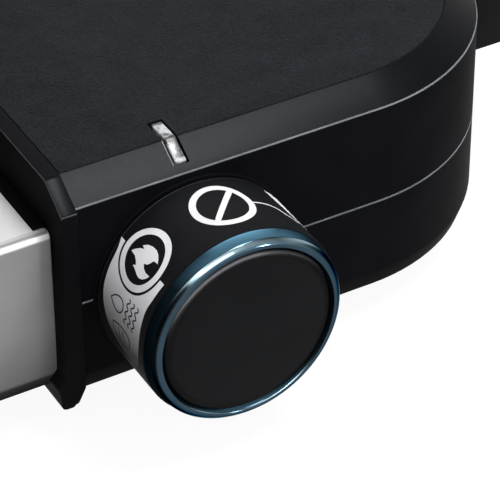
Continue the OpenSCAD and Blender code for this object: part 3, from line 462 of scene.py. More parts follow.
def rounded_copy(node, name, edge, segments=2, angle=SHARP):
    """Copy of a CAD node with merged faces and rounded edges."""
    piece = new_object(name, frame["nodes"][node].data.copy())
    with edited(piece.data) as shape:
        bmesh.ops.remove_doubles(shape, verts=shape.verts, dist=WELD)
        bmesh.ops.dissolve_limit(
            shape, angle_limit=math.radians(0.6), verts=shape.verts, edges=shape.edges
        )
    if edge:
        round_edges(piece, edge, segments, angle)
    return smooth(piece, angle)


def join(name, pieces):
    """One mesh from several pieces."""
    joined = new_object(name, bpy.data.meshes.new(name))
    with edited(joined.data) as shape:
        for piece in pieces:
            shape.from_mesh(piece.data)
    for piece in pieces:
        bpy.data.objects.remove(piece)
    return joined


# ---- Nodes and shared shader groups ----


def new_group(name, inputs, outputs, kind="ShaderNodeTree"):
    """Node group; inputs map a label to its default or socket type, outputs to a socket type."""
    group = bpy.data.node_groups.new(name, kind)
    for label, value in inputs.items():
        typed = isinstance(value, str)
        socket = group.interface.new_socket(
            label, in_out="INPUT", socket_type="NodeSocket" + (value if typed else "Float")
        )
        if not typed:
            socket.default_value = value
    for label, value in outputs.items():
        group.interface.new_socket(label, in_out="OUTPUT", socket_type="NodeSocket" + value)
    return group, group.nodes.new("NodeGroupInput").outputs, group.nodes.new("NodeGroupOutput")


def shared(build):
    """Node group that a function builds, made once under the function's name."""
    return bpy.data.node_groups.get(build.__name__) or build(build.__name__)


def add_node(tree, kind, links=None, **values):
    """Node with its settings; links maps an input's name or index to a socket or a value."""
    node = tree.nodes.new(kind)
    for key, value in values.items():
        setattr(node, key, value)
    return wire(node, links or {})


def fed_node(kind, links, tree=None, **values):
    """Node in the tree of the sockets that feed it."""
    sockets = [value for value in links.values() if isinstance(value, bpy.types.NodeSocket)]
    return add_node(tree or sockets[0].id_data, kind, links, **values)


def wire(node, links):
    """Sets a node's inputs, by name or index, to a socket or a value."""
    for key, value in links.items():
        if isinstance(value, bpy.types.NodeSocket):
            node.id_data.links.new(value, node.inputs[key])
        else:
            node.inputs[key].default_value = value
    return node


def maths(operation, *terms, clamp=False):
    links = dict(enumerate(terms))
    return fed_node("ShaderNodeMath", links, operation=operation, use_clamp=clamp).outputs[0]


def mixed(factor, low, high):
    return fed_node("ShaderNodeMix", {0: factor, 6: low, 7: high}, data_type="RGBA").outputs[2]


def tinted(colour_socket, strength):
    """Colour times a colour socket or, with a plain value socket, times that value."""
    plain = strength.type == "VALUE"
    links = {0: colour_socket, "Scale" if plain else 1: strength}
    operation = "SCALE" if plain else "MULTIPLY"
    return fed_node("ShaderNodeVectorMath", links, operation=operation).outputs[0]


def place_of(tree):
    return add_node(tree, "ShaderNodeTexCoord").outputs["Object"]


def noise(vector, size, detail, roughness):
    """Noise of a feature size in metres, given as a socket or a number."""
    scale = fed_node("ShaderNodeMath", {0: 1.0, 1: size}, vector.id_data, operation="DIVIDE")
    links = {"Vector": vector, "Scale": scale.outputs[0], "Detail": detail, "Roughness": roughness}
    return fed_node("ShaderNodeTexNoise", links).outputs["Fac"]


def moulded_grain(name):
    """Fine moulded grain with softer blotches; the height is for bump."""
    group, given, leave = new_group(
        name, {"Grain Size": 0.0006, "Blotch Size": 0.02, "Pits": 0.3},
        {"Grain": "Float", "Blotch": "Float", "Height": "Float"},
    )
    place = place_of(group)
    fine = noise(place, given["Grain Size"], 3.0, 0.6)
    blotch = noise(place, given["Blotch Size"], 2.0, 0.5)
    cell_scale = maths("DIVIDE", 0.8, given["Grain Size"])
    cells = fed_node("ShaderNodeTexVoronoi", {"Vector": place, "Scale": cell_scale})
    pits = maths("MULTIPLY", cells.outputs["Distance"], given["Pits"])
    wire(leave, {"Grain": fine, "Blotch": blotch, "Height": maths("ADD", fine, pits)})
    return group


def leather_grain(name):
    """Leather-like grain of the top panels: wrinkled cells over a fine noise."""
    group, given, leave = new_group(
        name, {"Cell Size": 0.0011, "Wrinkle": 0.5},
        {"Grain": "Float", "Cloud": "Float", "Height": "Float"},
    )
    place = place_of(group)
    bend = maths("MULTIPLY", noise(place, 0.0016, 2.0, 0.6), 0.0007)
    sway = fed_node("ShaderNodeCombineXYZ", {0: bend}).outputs[0]
    bent = fed_node("ShaderNodeVectorMath", {0: place, 1: sway}, operation="ADD").outputs[0]
    links = {"Vector": bent, "Scale": maths("DIVIDE", 1.0, given["Cell Size"]), "Smoothness": 0.6}
    cells = fed_node("ShaderNodeTexVoronoi", links, feature="SMOOTH_F1")
    fine = noise(place, 0.0005, 3.0, 0.65)
    wrinkle = maths("MULTIPLY", cells.outputs["Distance"], given["Wrinkle"])
    height = maths("ADD", wrinkle, maths("MULTIPLY", fine, 0.6))
    grain = maths("MULTIPLY_ADD", fine, 0.6, wrinkle)
    wire(leave, {"Grain": grain, "Cloud": noise(place, 0.009, 3.0, 0.6), "Height": height})
    return group


def brushed_streaks(name):
    """Brushed streaks along X with faint cloudy patches."""
    group, given, leave = new_group(
        name, {"Streak Size": 0.0004, "Cloud Size": 0.03}, {"Streaks": "Float", "Cloud": "Float"}
    )
    place = place_of(group)
    long = fed_node("ShaderNodeMapping", {"Vector": place, "Scale": (0.03, 1.0, 1.0)})
    streaks = noise(long.outputs[0], given["Streak Size"], 3.0, 0.6)
    wire(leave, {"Streaks": streaks, "Cloud": noise(place, given["Cloud Size"], 2.0, 0.5)})
    return group


def facing(name):
    """How far the surface faces up, front and left, from 0 for away to 1 for straight on, for
    painted light and shade.
    """
    group, _, leave = new_group(name, {}, {"Up": "Float", "Front": "Float", "Left": "Float"})
    normal = add_node(group, "ShaderNodeTexCoord").outputs["Normal"]
    parts = fed_node("ShaderNodeSeparateXYZ", {0: normal}).outputs
    for label, part, scale in (("Up", 2, 0.5), ("Front", 1, -0.5), ("Left", 0, -0.5)):
        wire(leave, {label: maths("MULTIPLY_ADD", parts[part], scale, 0.5, clamp=True)})
    return group


def handling_marks(name):
    """Thin rubbed marks: bright where the surface has been handled."""
    group, given, leave = new_group(name, {"Mark Size": 0.012}, {"Marks": "Float"})
    broad = noise(place_of(group), given["Mark Size"], 4.0, 0.65)
    links = {"Value": broad, "From Min": 0.52, "From Max": 0.75}
    wire(leave, {0: fed_node("ShaderNodeMapRange", links).outputs[0]})
    return group


def place_group(tree, build, **inputs):
    """Outputs of a shared group placed in a material with its own values."""
    node = add_node(tree, "ShaderNodeGroup", node_tree=shared(build))
    return wire(node, {label.replace("_", " "): value for label, value in inputs.items()}).outputs


# ---- Materials ----


def new_material(name, roughness=0.5, metallic=0.0, specular=0.5, coat=0.0, **sockets):
    """Principled material with its plain values on the shader's own sockets."""
    material = bpy.data.materials.new(name)
    material.use_nodes = True
    tree = material.node_tree
    shader = tree.nodes["Principled BSDF"]
    values = {
        "Roughness": roughness, "Metallic": metallic, "Specular IOR Level": specular,
        "Coat Weight": coat, **sockets,
    }
    return material, tree, wire(shader, values)


def shade_of(rgb, factor):
    return tuple(min(1.0, c * factor) for c in rgb) + (1.0,)


def spread_value(factor, low, high, start=0.3, end=0.7):
    links = {"Value": factor, "From Min": start, "From Max": end, "To Min": low, "To Max": high}
    return fed_node("ShaderNodeMapRange", links).outputs[0]


def surface(shader, base, rough, height, relief, depth):
    """Links a surface's colour and roughness, and its height as a bump."""
    links = {"Height": height, "Strength": relief, "Distance": depth}
    normal = fed_node("ShaderNodeBump", links).outputs[0]
    wire(shader, {"Base Color": base, "Roughness": rough, "Normal": normal})


def grained(name, rgb, rough, contrast=0.25, grain=0.0006, blotch=0.02, relief=0.15,
            depth=0.00003, tones=(), rub=0.0, **shader_values):
    """Moulded, cast or coated surface: blotchy colour, grained roughness and a fine relief.

    Painted light sets its strength by the side it faces, as painted shade and highlight, and rub
    lightens it where hands have been.
    """
    material, tree, shader = new_material(name, **shader_values)
    effect = place_group(tree, moulded_grain, Grain_Size=grain, Blotch_Size=blotch, Pits=0.3)
    fine = maths("MULTIPLY", effect["Grain"], 0.3)
    steady = spread_value(maths("MULTIPLY_ADD", effect["Blotch"], 0.7, fine), 0.0, 1.0)
    base = mixed(steady, shade_of(rgb, 1 - contrast), shade_of(rgb, 1 + contrast))
    # Painted light and shade: strength by the side the face turns to
    for side, stops in tones:
        strength = ramp_colours(place_group(tree, facing)[side], (1, 1, 1), stops)
        base = tinted(base, strength)
    if rub:
        marks = maths("MULTIPLY", place_group(tree, handling_marks, Mark_Size=0.012)[0], 0.3)
        base = mixed(marks, base, shade_of(rgb, rub))
    rough = spread_value(effect["Grain"], *rough)
    surface(shader, base, rough, effect["Height"], relief, depth)
    return material


def rubbed(name, rgb, rough, contrast=0.25, rub=2.0, **values):
    """Grained surface with lighter marks where hands and utensils have rubbed it."""
    return grained(name, rgb, rough, contrast, rub=rub, **values)


def steel(name, rgb, rough, streak=0.0004):
    """Brushed steel: streaks along X and cloudy patches."""
    material, tree, shader = new_material(name, metallic=1.0)
    streaks = place_group(tree, brushed_streaks, Streak_Size=streak, Cloud_Size=0.022)
    base = mixed(streaks["Cloud"], shade_of(rgb, 0.9), shade_of(rgb, 1.1))
    brush(shader, streaks, base, streaked(streaks), rough)
    return material


def fascia_steel(name, rgb):
    """Brushed steel of the fascia, with painted reflection and shade: lighter where it faces up,
    darker at its foot.
    """
    material, tree, shader = new_material(name, specular=0.0)
    streaks = place_group(tree, brushed_streaks, Streak_Size=0.0004, Cloud_Size=0.022)
    up = place_group(tree, facing)["Up"]
    # Painted reflection: by how far a face turns up, the lower bend is dark, the upright face mid
    # grey, the top bend near white with a darker line under the shelf, and the shelf light
    stops = [
        (0.0, 0.2), (0.25, 0.25), (0.44, 0.3), (0.49, 1.3), (0.56, 1.65), (0.66, 4.2), (0.88, 4.4),
        (0.925, 1.2), (0.985, 1.2), (0.998, 2.75),
    ]
    base = ramp_colours(up, rgb, stops)
    # Painted shade: the front face is darker towards its foot
    height = fed_node("ShaderNodeSeparateXYZ", {0: place_of(tree)}).outputs[2]
    foot = spread_value(height, 0.55, 1.0, 0.011, 0.032)
    light = maths("MULTIPLY", streaked(streaks), foot)
    wire(shader, {"Metallic": spread_value(up, 0.0, 0.2, 0.42, 0.5)})
    brush(shader, streaks, base, light, (0.36, 0.42))
    return material


def streaked(streaks):
    """Strength round 1 that varies with the streaks and the cloudy patches."""
    cloud = maths("MULTIPLY_ADD", streaks["Cloud"], 0.14, 0.9)
    return maths("MULTIPLY_ADD", streaks["Streaks"], 0.1, cloud)


def brush(shader, streaks, base, light, rough):
    sheen = spread_value(streaks["Streaks"], *rough)
    surface(shader, tinted(base, light), sheen, streaks["Streaks"], 0.03, 0.000006)


def leather(name, rgb):
    """Leather-grained black of the top panels."""
    material, tree, shader = new_material(name, specular=0.04)
    effect = place_group(tree, leather_grain, Cell_Size=0.0007, Wrinkle=0.3)
    fine = maths("MULTIPLY", effect["Grain"], 0.95)
    tone = maths("MULTIPLY_ADD", effect["Cloud"], 0.25, fine)
    steady = spread_value(tone, 0.0, 1.0, 0.4, 0.85)
    base = mixed(steady, shade_of(rgb, 0.3), shade_of(rgb, 1.85))
    rough = spread_value(effect["Grain"], 0.5, 0.7, 0.2, 0.9)
    surface(shader, base, rough, effect["Height"], 0.9, 0.0003)
    return material


def ramp_colours(factor, rgb, stops):
    """Colour ramp of one colour at different strengths."""
    ramp = fed_node("ShaderNodeValToRGB", {0: factor})
    elements = ramp.color_ramp.elements
    while len(elements) < len(stops):
        elements.new(0.5)
    for element, (at, strength) in zip(elements, stops):
        element.position = at
        element.color = shade_of(rgb, strength)
    return ramp.outputs[0]


def chrome(name, rgb):
    """Blue plated chrome with painted reflection: by the side each face turns to, a dark outer
    wall, a painted highlight streak on its chamfer and an even crest.
    """
    material, tree, shader = new_material(
        name, specular=0.0, **{"Specular Tint": (0.3, 0.36, 0.42, 1)}
    )
    effect = place_group(tree, moulded_grain, Grain_Size=0.002, Blotch_Size=0.006, Pits=0.0)
    sides = place_group(tree, facing)
    up, front = sides["Up"], sides["Front"]
    deep = tuple(c * tint for c, tint in zip(rgb, (0.7, 0.97, 1.05)))
    # Painted reflection: the outer wall is dark and faces that turn up grow lighter
    base = ramp_colours(up, deep, [
        (0.0, 0.3), (0.5, 0.05), (0.75, 0.04), (0.9, 0.15), (0.96, 0.5), (0.985, 3.0), (1.0, 4.8),
    ])
    # Painted shade and reflection in the fold below the chamfer
    painted_fold_light = ramp_colours(up, deep, [(0.0, 0.3), (0.5, 0.08), (0.85, 0.15), (1.0, 1.8)])
    # Painted highlight: a light blue streak along the chamfer where it turns up
    streak = ramp_colours(up, (0.55, 0.78, 0.88), [
        (0.0, 0.06), (0.3, 0.03), (0.6, 0.02), (0.68, 0.015), (0.74, 0.04), (0.77, 0.12),
        (0.8, 0.7), (0.83, 1.0), (0.86, 0.8), (0.92, 0.1), (1.0, 0.2),
    ])
    # The painted streak fades by how far the face turns left
    painted_streak_fade = ramp_colours(sides["Left"], (1, 1, 1), [
        (0.0, 1.0), (0.25, 0.6), (0.38, 0.15), (0.5, 0.4), (0.57, 0.9), (0.67, 1.0), (0.74, 0.2),
    ])
    streak = tinted(streak, painted_streak_fade)
    # Painted reflection: the crest is lighter where it turns up
    crest = ramp_colours(up, rgb, [(0.0, 1.0), (0.6, 1.0), (0.72, 1.15), (0.8, 2.6)])
    for over, start, end in ((painted_fold_light, 0.52, 0.6), (streak, 0.7, 0.76), (crest, 0.855, 0.885)):
        base = mixed(spread_value(front, 0.0, 1.0, start, end), base, over)
    wire(shader, {"Metallic": spread_value(front, 0.0, 1.0, 0.66, 0.74)})
    base = tinted(base, maths("MULTIPLY_ADD", effect["Blotch"], 0.4, 0.8))
    rough = spread_value(effect["Grain"], 0.08, 0.16)
    surface(shader, base, rough, effect["Blotch"], 0.03, 0.0004)
    return material


def frosted_pipe(name, rgb):
    """Milky light pipe with silvery flecks."""
    material, tree, shader = new_material(
        name, specular=0.3, **{"Transmission Weight": 0.25, "IOR": 1.49}
    )
    effect = place_group(tree, moulded_grain, Grain_Size=0.0012, Blotch_Size=0.0036, Pits=0.2)
    steady = spread_value(effect["Blotch"], 0.0, 1.0, 0.44, 0.58)
    base = mixed(steady, (0.03, 0.031, 0.033, 1), (*rgb, 1))
    rough = spread_value(effect["Grain"], 0.12, 0.4)
    surface(shader, base, rough, effect["Height"], 0.3, 0.0001)
    return material


def clear_glass(name, rgb):
    """Toughened window glass with a faint smoky tint and wiping marks."""
    material, tree, shader = new_material(name, **{"Transmission Weight": 1.0, "IOR": 1.5})
    effect = place_group(tree, moulded_grain, Grain_Size=0.004, Blotch_Size=0.03, Pits=0.0)
    wire(shader, {
        "Base Color": mixed(effect["Blotch"], (0.72, 0.74, 0.75, 1), (*rgb, 1)),
        "Roughness": spread_value(effect["Blotch"], 0.01, 0.06),
    })
    return material


# Painted light and shade: strengths of a colour by how far the surface faces up or left, from 0 for
# away to 1
# Painted shade: faces that turn down are darkened
PAINTED_SHADE_BELOW = [("Up", [(0.3, 0.3), (0.46, 1.0)])]
# Painted highlight on the upper left of the knob face's lip
LIP_PAINTED_HIGHLIGHT = [
    ("Up", [(0.5, 0.03), (0.54, 0.035), (0.6, 0.07), (0.66, 0.3), (0.69, 1.0), (0.78, 1.0),
            (0.85, 0.2), (1.0, 0.05)]),
    ("Left", [(0.3, 0.2), (0.42, 0.4), (0.48, 1.0)]),
]
# Painted shade: the print darkens where the sleeve turns down
INK_PAINTED_SHADE = [
    ("Up", [(0.36, 0.02), (0.45, 0.08), (0.52, 0.25), (0.59, 0.42), (0.66, 0.7),
            (0.72, 0.85), (0.8, 0.95), (1.0, 0.85)]),
]
# Every finish by the record's slot or by its use on a piece. A row holds the recipe, a colour or
# the name of its setting, the lowest and highest roughness, the contrast, the sizes of grain and
# blotches in metres, the relief and its depth in metres. A steel row has no contrast, and in a
# rubbed row the number after the contrast is how many times lighter the marks are.
FINISH_ROWS = {
    # Housing black, painted darker on faces that turn down
    "housing_black": (
        grained, "housing", (0.5, 0.66), 0.3, 0.0005, 0.014, 0.25,
        dict(specular=0.015, tones=PAINTED_SHADE_BELOW),
    ),
    "bevel_satin": (
        grained, "bevel", (0.24, 0.31), 0.22, 0.0006, 0.012, 0.06, 0.00002,
        {"specular": 0.056, "Specular Tint": (0.9, 0.95, 1.0, 1)},
    ),
    # Painted highlight for thin edge lines
    "edge_line": (
        grained, "line", (0.3, 0.42), 0.3, 0.0005, 0.008, 0.05, 0.00002, dict(specular=0.2),
    ),
    # Painted highlight for the cheek plates' edges and the knob sleeve's back edge
    "cheek_edge": (
        grained, (0.055, 0.058, 0.064), (0.4, 0.5), 0.3, 0.0005, 0.008, 0.05, dict(specular=0.1),
    ),
    "textured_black": (leather, "panel"),
    # Cheek black, painted darker on faces that turn down
    "cheek_black": (
        grained, (0.0045, 0.0047, 0.0053), (0.45, 0.6), 0.3, 0.0005, 0.016, 0.2,
        dict(specular=0.015, tones=PAINTED_SHADE_BELOW),
    ),
    "grip_black": (
        rubbed, (0.006, 0.0061, 0.0067), (0.42, 0.6), 0.3,
        dict(grain=0.0007, relief=0.3, specular=0.05),
    ),
    "pan_black": (
        rubbed, (0.018, 0.018, 0.02), (0.3, 0.5), 0.3,
        dict(grain=0.0008, relief=0.2, specular=0.4),
    ),
    "lid_black": (
        rubbed, "lid", (0.24, 0.34), 0.2, 1.3,
        dict(grain=0.0007, blotch=0.03, relief=0.08, specular=0.12, coat=0.03),
    ),
    # Fascia steel with painted reflection and shade by facing and height
    "brushed_silver": (fascia_steel, "steel"),
    "rim_steel": (steel, (0.5, 0.5, 0.505), (0.2, 0.34)),
    "liner_steel": (steel, (0.42, 0.42, 0.425), (0.3, 0.5)),
    "tray_steel": (steel, (0.34, 0.34, 0.345), (0.3, 0.45)),
    "fastener_steel": (steel, (0.5, 0.5, 0.51), (0.2, 0.35), 0.0002),
    "element_steel": (
        rubbed, (0.06, 0.058, 0.056), (0.4, 0.6), 0.35, 1.8, dict(grain=0.0005, metallic=0.6),
    ),
    "terminal_ceramic": (grained, (0.62, 0.58, 0.5), (0.45, 0.6), 0.12, 0.0006, 0.006),
    "blue_chrome": (chrome, "ring"),
    "knob_black": (
        grained, (0.0066, 0.0069, 0.0076), (0.5, 0.6), 0.2, 0.0006, 0.012, 0.08, 0.00002,
        dict(specular=0.03),
    ),
    "cap_black": (
        grained, (0.0062, 0.0066, 0.0073), (0.45, 0.55), 0.12, 0.0006, 0.014, 0.06, 0.00002,
        dict(specular=0.04),
    ),
    # Painted highlight: the lip's light colour by the side it faces
    "lip_satin": (
        grained, (0.18, 0.18, 0.19), (0.4, 0.5), 0.2, 0.0006, 0.01, 0.06, 0.00002,
        dict(specular=0.03, tones=LIP_PAINTED_HIGHLIGHT),
    ),
    "clear_pipe": (frosted_pipe, (0.5, 0.505, 0.515)),
    "window_glass": (clear_glass, (0.82, 0.84, 0.85)),
    "board_green": (
        grained, (0.02, 0.09, 0.035), (0.3, 0.45), 0.3, 0.0008, 0.004, dict(specular=0.4),
    ),
    "switch_body": (grained, (0.5, 0.33, 0.1), (0.35, 0.5), 0.2, 0.0006, 0.006),
    "rubber_black": (
        grained, (0.0035, 0.0035, 0.004), (0.7, 0.85), 0.3, 0.0008, 0.008, 0.4, 0.00006,
        dict(specular=0.02),
    ),
    "silicone_grey": (
        grained, (0.05, 0.05, 0.052), (0.55, 0.7), 0.2, 0.0008, 0.01, 0.2, dict(specular=0.3),
    ),
    "grate_black": (
        rubbed, (0.014, 0.0142, 0.015), (0.32, 0.5), 0.35, 2.4,
        dict(grain=0.0009, relief=0.45, depth=0.00006, specular=0.4),
    ),
    "lead_red": (grained, (0.42, 0.03, 0.02), (0.4, 0.55), 0.15, 0.0006, 0.01),
    "lead_blue": (grained, (0.03, 0.05, 0.35), (0.4, 0.55), 0.15, 0.0006, 0.01),
    # Printed ink, darkened as painted shade where the sleeve turns down
    "print_light": (
        grained, "ink", (0.5, 0.6), 0.05, 0.0004, 0.008, 0.05, 0.00001,
        dict(specular=0.03, tones=INK_PAINTED_SHADE),
    ),
    "print_dark": (
        grained, (0.02, 0.021, 0.023), (0.45, 0.55), 0.2, 0.0004, 0.008, dict(specular=0.1),
    ),
}


def make_finishes():
    for name, (recipe, rgb, *values) in FINISH_ROWS.items():
        named = values.pop() if values and isinstance(values[-1], dict) else {}
        rgb = paint(rgb) if isinstance(rgb, str) else rgb
        FINISHES[name] = recipe(name, rgb, *values, **named)


# ---- Shapes ----


def side_place(side, x, y):
    """X and Y of a place measured outwards from a cheek plate and back from the front face."""
    return (CTRL_X + x if side == "right" else END_X - x, FRONT_Y + y)


def side_width(side):
    return CTRL_HIGH[0] + OUTER_SHIFT - CTRL_X if side == "right" else END_X - END_LOW[0]


def housing_ring(side, inset, z, x0):
    """Outline of a housing: flat beside the cheek plate, round on its two outer corners."""
    radius, width = sizes("grill_housing")["corner_radius"], side_width(side)
    bend = radius - inset
    points = [(x0, inset), *arc(width - radius, radius, bend, -90, 0, 24)]
    points += [*arc(width - radius, DEPTH - radius, bend, 0, 90, 24), (x0, DEPTH - inset)]
    return [side_place(side, x, y) + (z,) for x, y in points]


def housing_loft(name, side, rings, tube=False, bands=None):
    """Skin round a housing through (inset, height, place beside the cheek plate) rows."""
    return loft(name + side, [housing_ring(side, *row) for row in rings], tube, bands)


def fillet(outline, radius, steps=3):
    """Outline with every corner rounded."""
    points = []
    count = len(outline)
    for i in range(count):
        a, b, c = (Vector(outline[k % count]) for k in (i - 1, i, i + 1))
        reach = min(radius, (a - b).length * 0.45, (c - b).length * 0.45)
        start, end = b + (a - b).normalized() * reach, b + (c - b).normalized() * reach
        for k in range(steps + 1):
            t = k / steps
            points.append(tuple(start * (1 - t) ** 2 + b * 2 * t * (1 - t) + end * t * t))
    return points


def mark_faces(piece, index, test):
    """Gives the faces that pass the test a material index; it sees centre in mm and normal."""
    for face in piece.data.polygons:
        if test(face.center / MM, face.normal):
            face.material_index = index


def slot_cutter():
    """Cutter for the light pipe's slot through the bevel and the top panel."""
    centre = (LIGHT_LOW[0] + LIGHT_HIGH[0]) / 2
    half = (LIGHT_HIGH[0] - LIGHT_LOW[0]) / 2 + 0.6
    front, back = LIGHT_END[0] - 0.3, LIGHT_HIGH[1] + 1.0
    outline = [
        (back, TOP_Z + 3), (front, TOP_Z + 3), (front, LIGHT_END[1] - 0.2),
        (front + 1.4, LIGHT_END[1] - 2.7), (FRONT_Y + 9.6, TOP_Z - 3.9), (back, TOP_Z - 3.9),
    ]
    return prism("slot", outline, "X", centre - half, centre + half)


def light_bar():
    """Light pipe that runs down the bevel, beside the edge of its slot, which has a painted
    highlight.
    """
    low, high, lift = LIGHT_LOW, LIGHT_HIGH, 0.18
    end_y, end_z = LIGHT_END
    outline = [
        (high[1], high[2] + lift), (FRONT_Y + 8.4, high[2] + lift), (end_y, end_z + lift),
        (end_y + 1.2, end_z - 2.4), (FRONT_Y + 9.6, high[2] - 3.65), (high[1], high[2] - 3.65),
    ]
    pipe = prism("light_bar", fillet(outline, 0.4), "X", low[0], high[0], 0.35, 4)
    y0, y1 = end_y - 0.2, FRONT_Y + 8.2
    lip = [(y0, end_z), (y1, TOP_Z), (y1, TOP_Z - 1.32), (y0, end_z - 1.32)]
    edge = prism("slot_edge", lip, "X", low[0] - 0.85, low[0] - 0.6)
    # Painted highlight on the slot's edge
    mark_faces(edge, 1, lambda c, n: True)
    return join("light_bar", [pipe, edge])


def posts(side, low, high):
    """Screw posts inside a housing."""
    radius, width = sizes("grill_housing")["corner_radius"], side_width(side)
    far = radius - (radius - 8) * 0.7
    places = [
        (POST_X, POST_Y), (width - far, far), (POST_X, DEPTH - POST_Y), (width - far, DEPTH - far)
    ]
    return [rod("post", "Z", side_place(side, x, y), low, high, POST_R, 24) for x, y in places]


def upper_shell(side):
    """Upper shell: upright wall, a painted highlight line along the bevel's lower edge, satin bevel
    and a ledge for the top panel.
    """
    h = sizes("grill_housing")
    wall, low = h["wall"], PART_Z
    edge = TOP_Z - h["bevel_height"]
    slope = h["bevel_height"] / h["bevel_depth"]
    far = h["bevel_depth"] + 0.1
    rings = [
        (wall, low, wall), (0.15, low, 0), (0, low + 0.15, 0), (0, edge - 0.24, 0),
        (0.04, edge - 0.06, 0), (0.12, edge + 0.05, 0), (0.26, edge + 0.26 * slope, 0),
        (far - 0.4, edge + (far - 0.4) * slope, 0), (far - 0.2, TOP_Z - 0.09, 0),
        (far - 0.08, TOP_Z - 0.05, 0), (far, TOP_Z - 0.05, 0),
        (far + 4.4, TOP_Z - 0.02, wall), (far + 4.4, edge - 0.8, wall), (wall, edge - 0.8, wall),
    ]
    # Band 1 is the painted highlight along the bevel's lower edge, band 2 the satin bevel
    bands = [0, 0, 0, 1, 1, 1, 2, 2, 2, 2, 0, 0, 0, 0]
    shell = housing_loft("housing_top_", side, rings, True, bands)
    cutters = [housing_loft("recess_", side, [(far, z, -1) for z in (LEDGE_Z, TOP_Z + 2)])]
    if side == "right":
        cutters += [slot_cutter(), knob_hole()]
    tidy_mesh(cut(shell, *cutters))
    return join(shell.name, [shell] + posts(side, low, LEDGE_Z))


def knob_hole():
    return rod("hole", "Y", (KNOB_X, KNOB_Z), FRONT_Y - 1, FRONT_Y + 4, KNOB_HOLE_R, 96)


def lower_shell(side):
    """Lower shell: parting line on top with a painted highlight, upright wall and a tucked-in lower
    edge.
    """
    h = sizes("grill_housing")
    wall, high, foot = h["wall"], PART_Z, FOOT_Z
    tuck, depth = h["tuck_height"], h["tuck_depth"]
    rings = [
        (wall, foot + wall, wall), (wall, high, wall), (0.08, high, 0), (0, high - 0.05, 0),
        (0, high - h["line_height"], 0), (0, foot + tuck + 0.5, 0), (0.06, foot + tuck, 0),
        (0.25, foot + tuck - 0.6, 0), (depth - 0.15, foot + 0.5, 0),
        (depth + 0.15, foot + 0.12, 0), (depth + 0.6, foot, 0),
    ]
    # Band 1 carries the painted highlight along the parting line
    shell = housing_loft("housing_base_", side, rings, False, [0, 0, 1, 1, 0, 0, 0, 0, 0, 0])
    if side == "right":
        low, top = node_box("cord_bush")
        outlet, back = ((low[0] + top[0]) / 2, (low[2] + top[2]) / 2), FRONT_Y + DEPTH
        tidy_mesh(cut(shell, knob_hole(), rod("outlet", "Y", outlet, back - 5, back + 2, 8, 64)))
    return join(shell.name, [shell] + posts(side, foot + wall - 0.4, high))


def top_panel(side):
    h = sizes("grill_housing")
    inset = h["bevel_depth"] + 0.1 + h["panel_gap"]
    rings = [
        (inset, LEDGE_Z, 0.2), (inset, TOP_Z - 0.3, 0.2), (inset + 0.03, TOP_Z - 0.12, 0.23),
        (inset + 0.12, TOP_Z - 0.03, 0.32), (inset + 0.28, TOP_Z, 0.48),
    ]
    panel = housing_loft("panel_", side, rings)
    return tidy_mesh(cut(panel, slot_cutter())) if side == "right" else panel


def build_housing(side, upper, lower, panel):
    dress(upper_shell(side), upper, "housing_black", "edge_line", "bevel_satin")
    dress(lower_shell(side), lower, "housing_black", "edge_line")
    dress(top_panel(side), panel)


def cheek_plate(side, node):
    """Cheek plate with a rounded face edge, a bevelled nose and a keel that tapers at its foot."""
    h = sizes("grill_housing")
    low, high = node_box(node)
    thick, nose = high[0] - low[0], low[1] - FRONT_Y
    back, top, foot = DEPTH, high[2], low[2] + 0.9
    edge = TOP_Z - h["bevel_height"] + nose / 2
    outline = [
        (nose, foot + 1), (nose + 1, foot), (back - 1, foot), (back, foot + 1),
        (back, edge + 0.6), (back - h["bevel_depth"], top), (7.4, top), (nose, edge),
    ]
    outline = fillet(outline, 0.7, 4)
    stops = [(0.32 * (1 - math.cos(t)), 0.32 * (1 - math.sin(t))) for t in quarter(4)]
    stops += [(thick - 0.2, 0.0), (thick - 0.06, 0.06), (thick, 0.2)]
    face = -thick - CHEEK_GAP
    rings = [
        [side_place(side, face + place, y) + (z,) for y, z in inset_outline(outline, inset)]
        for place, inset in stops
    ]
    plate = loft("cheek_plate_" + side, rings)
    out = 1 if side == "right" else -1
    face_x, _ = side_place(side, face, 0)
    for vertex in plate.data.vertices:
        x, y, z = vertex.co / MM
        if y < FRONT_Y - 0.3 and abs(x - face_x) < 0.8:
            vertex.co.x -= out * NOSE_LEAN * max(0.0, (edge - z) / (edge - foot)) * MM
    keel_x, _ = side_place(side, -0.7, 0)
    along = Vector((out * 2.6, 0, 5.2)).normalized()
    with edited(plate.data) as shape:
        made = bmesh.ops.bisect_plane(
            shape,
            geom=shape.verts[:] + shape.edges[:] + shape.faces[:],
            plane_co=Vector((keel_x, 0, KEEL_Z)) * MM,
            plane_no=Vector((out * abs(along.z), 0, -abs(along.x))),
            clear_outer=True,
        )
        rim = [e for e in made["geom_cut"] if isinstance(e, bmesh.types.BMEdge)]
        bmesh.ops.holes_fill(shape, edges=rim)
    tidy_mesh(plate)
    mark_faces(plate, 2, lambda c, n: n.z > 0.3 and abs(n.y) > 0.3 and abs(n.x) < 0.4)
    # Painted highlight: the rounded face edge and the nose's edge at the bevel take the light edge
    # finish
    mark_faces(plate, 1, lambda c, n: (
        abs(c.x - face_x) < 0.7 and -0.97 < n.x * out < -0.4 and n.z > 0.2
    ))
    mark_faces(plate, 1, lambda c, n: (
        abs(c.z - edge) < 0.22 and c.y < FRONT_Y + 1 and abs(n.x) < 0.5 and n.z > 0.05
    ))
    return join(plate.name, [plate, keel_flare(side)])


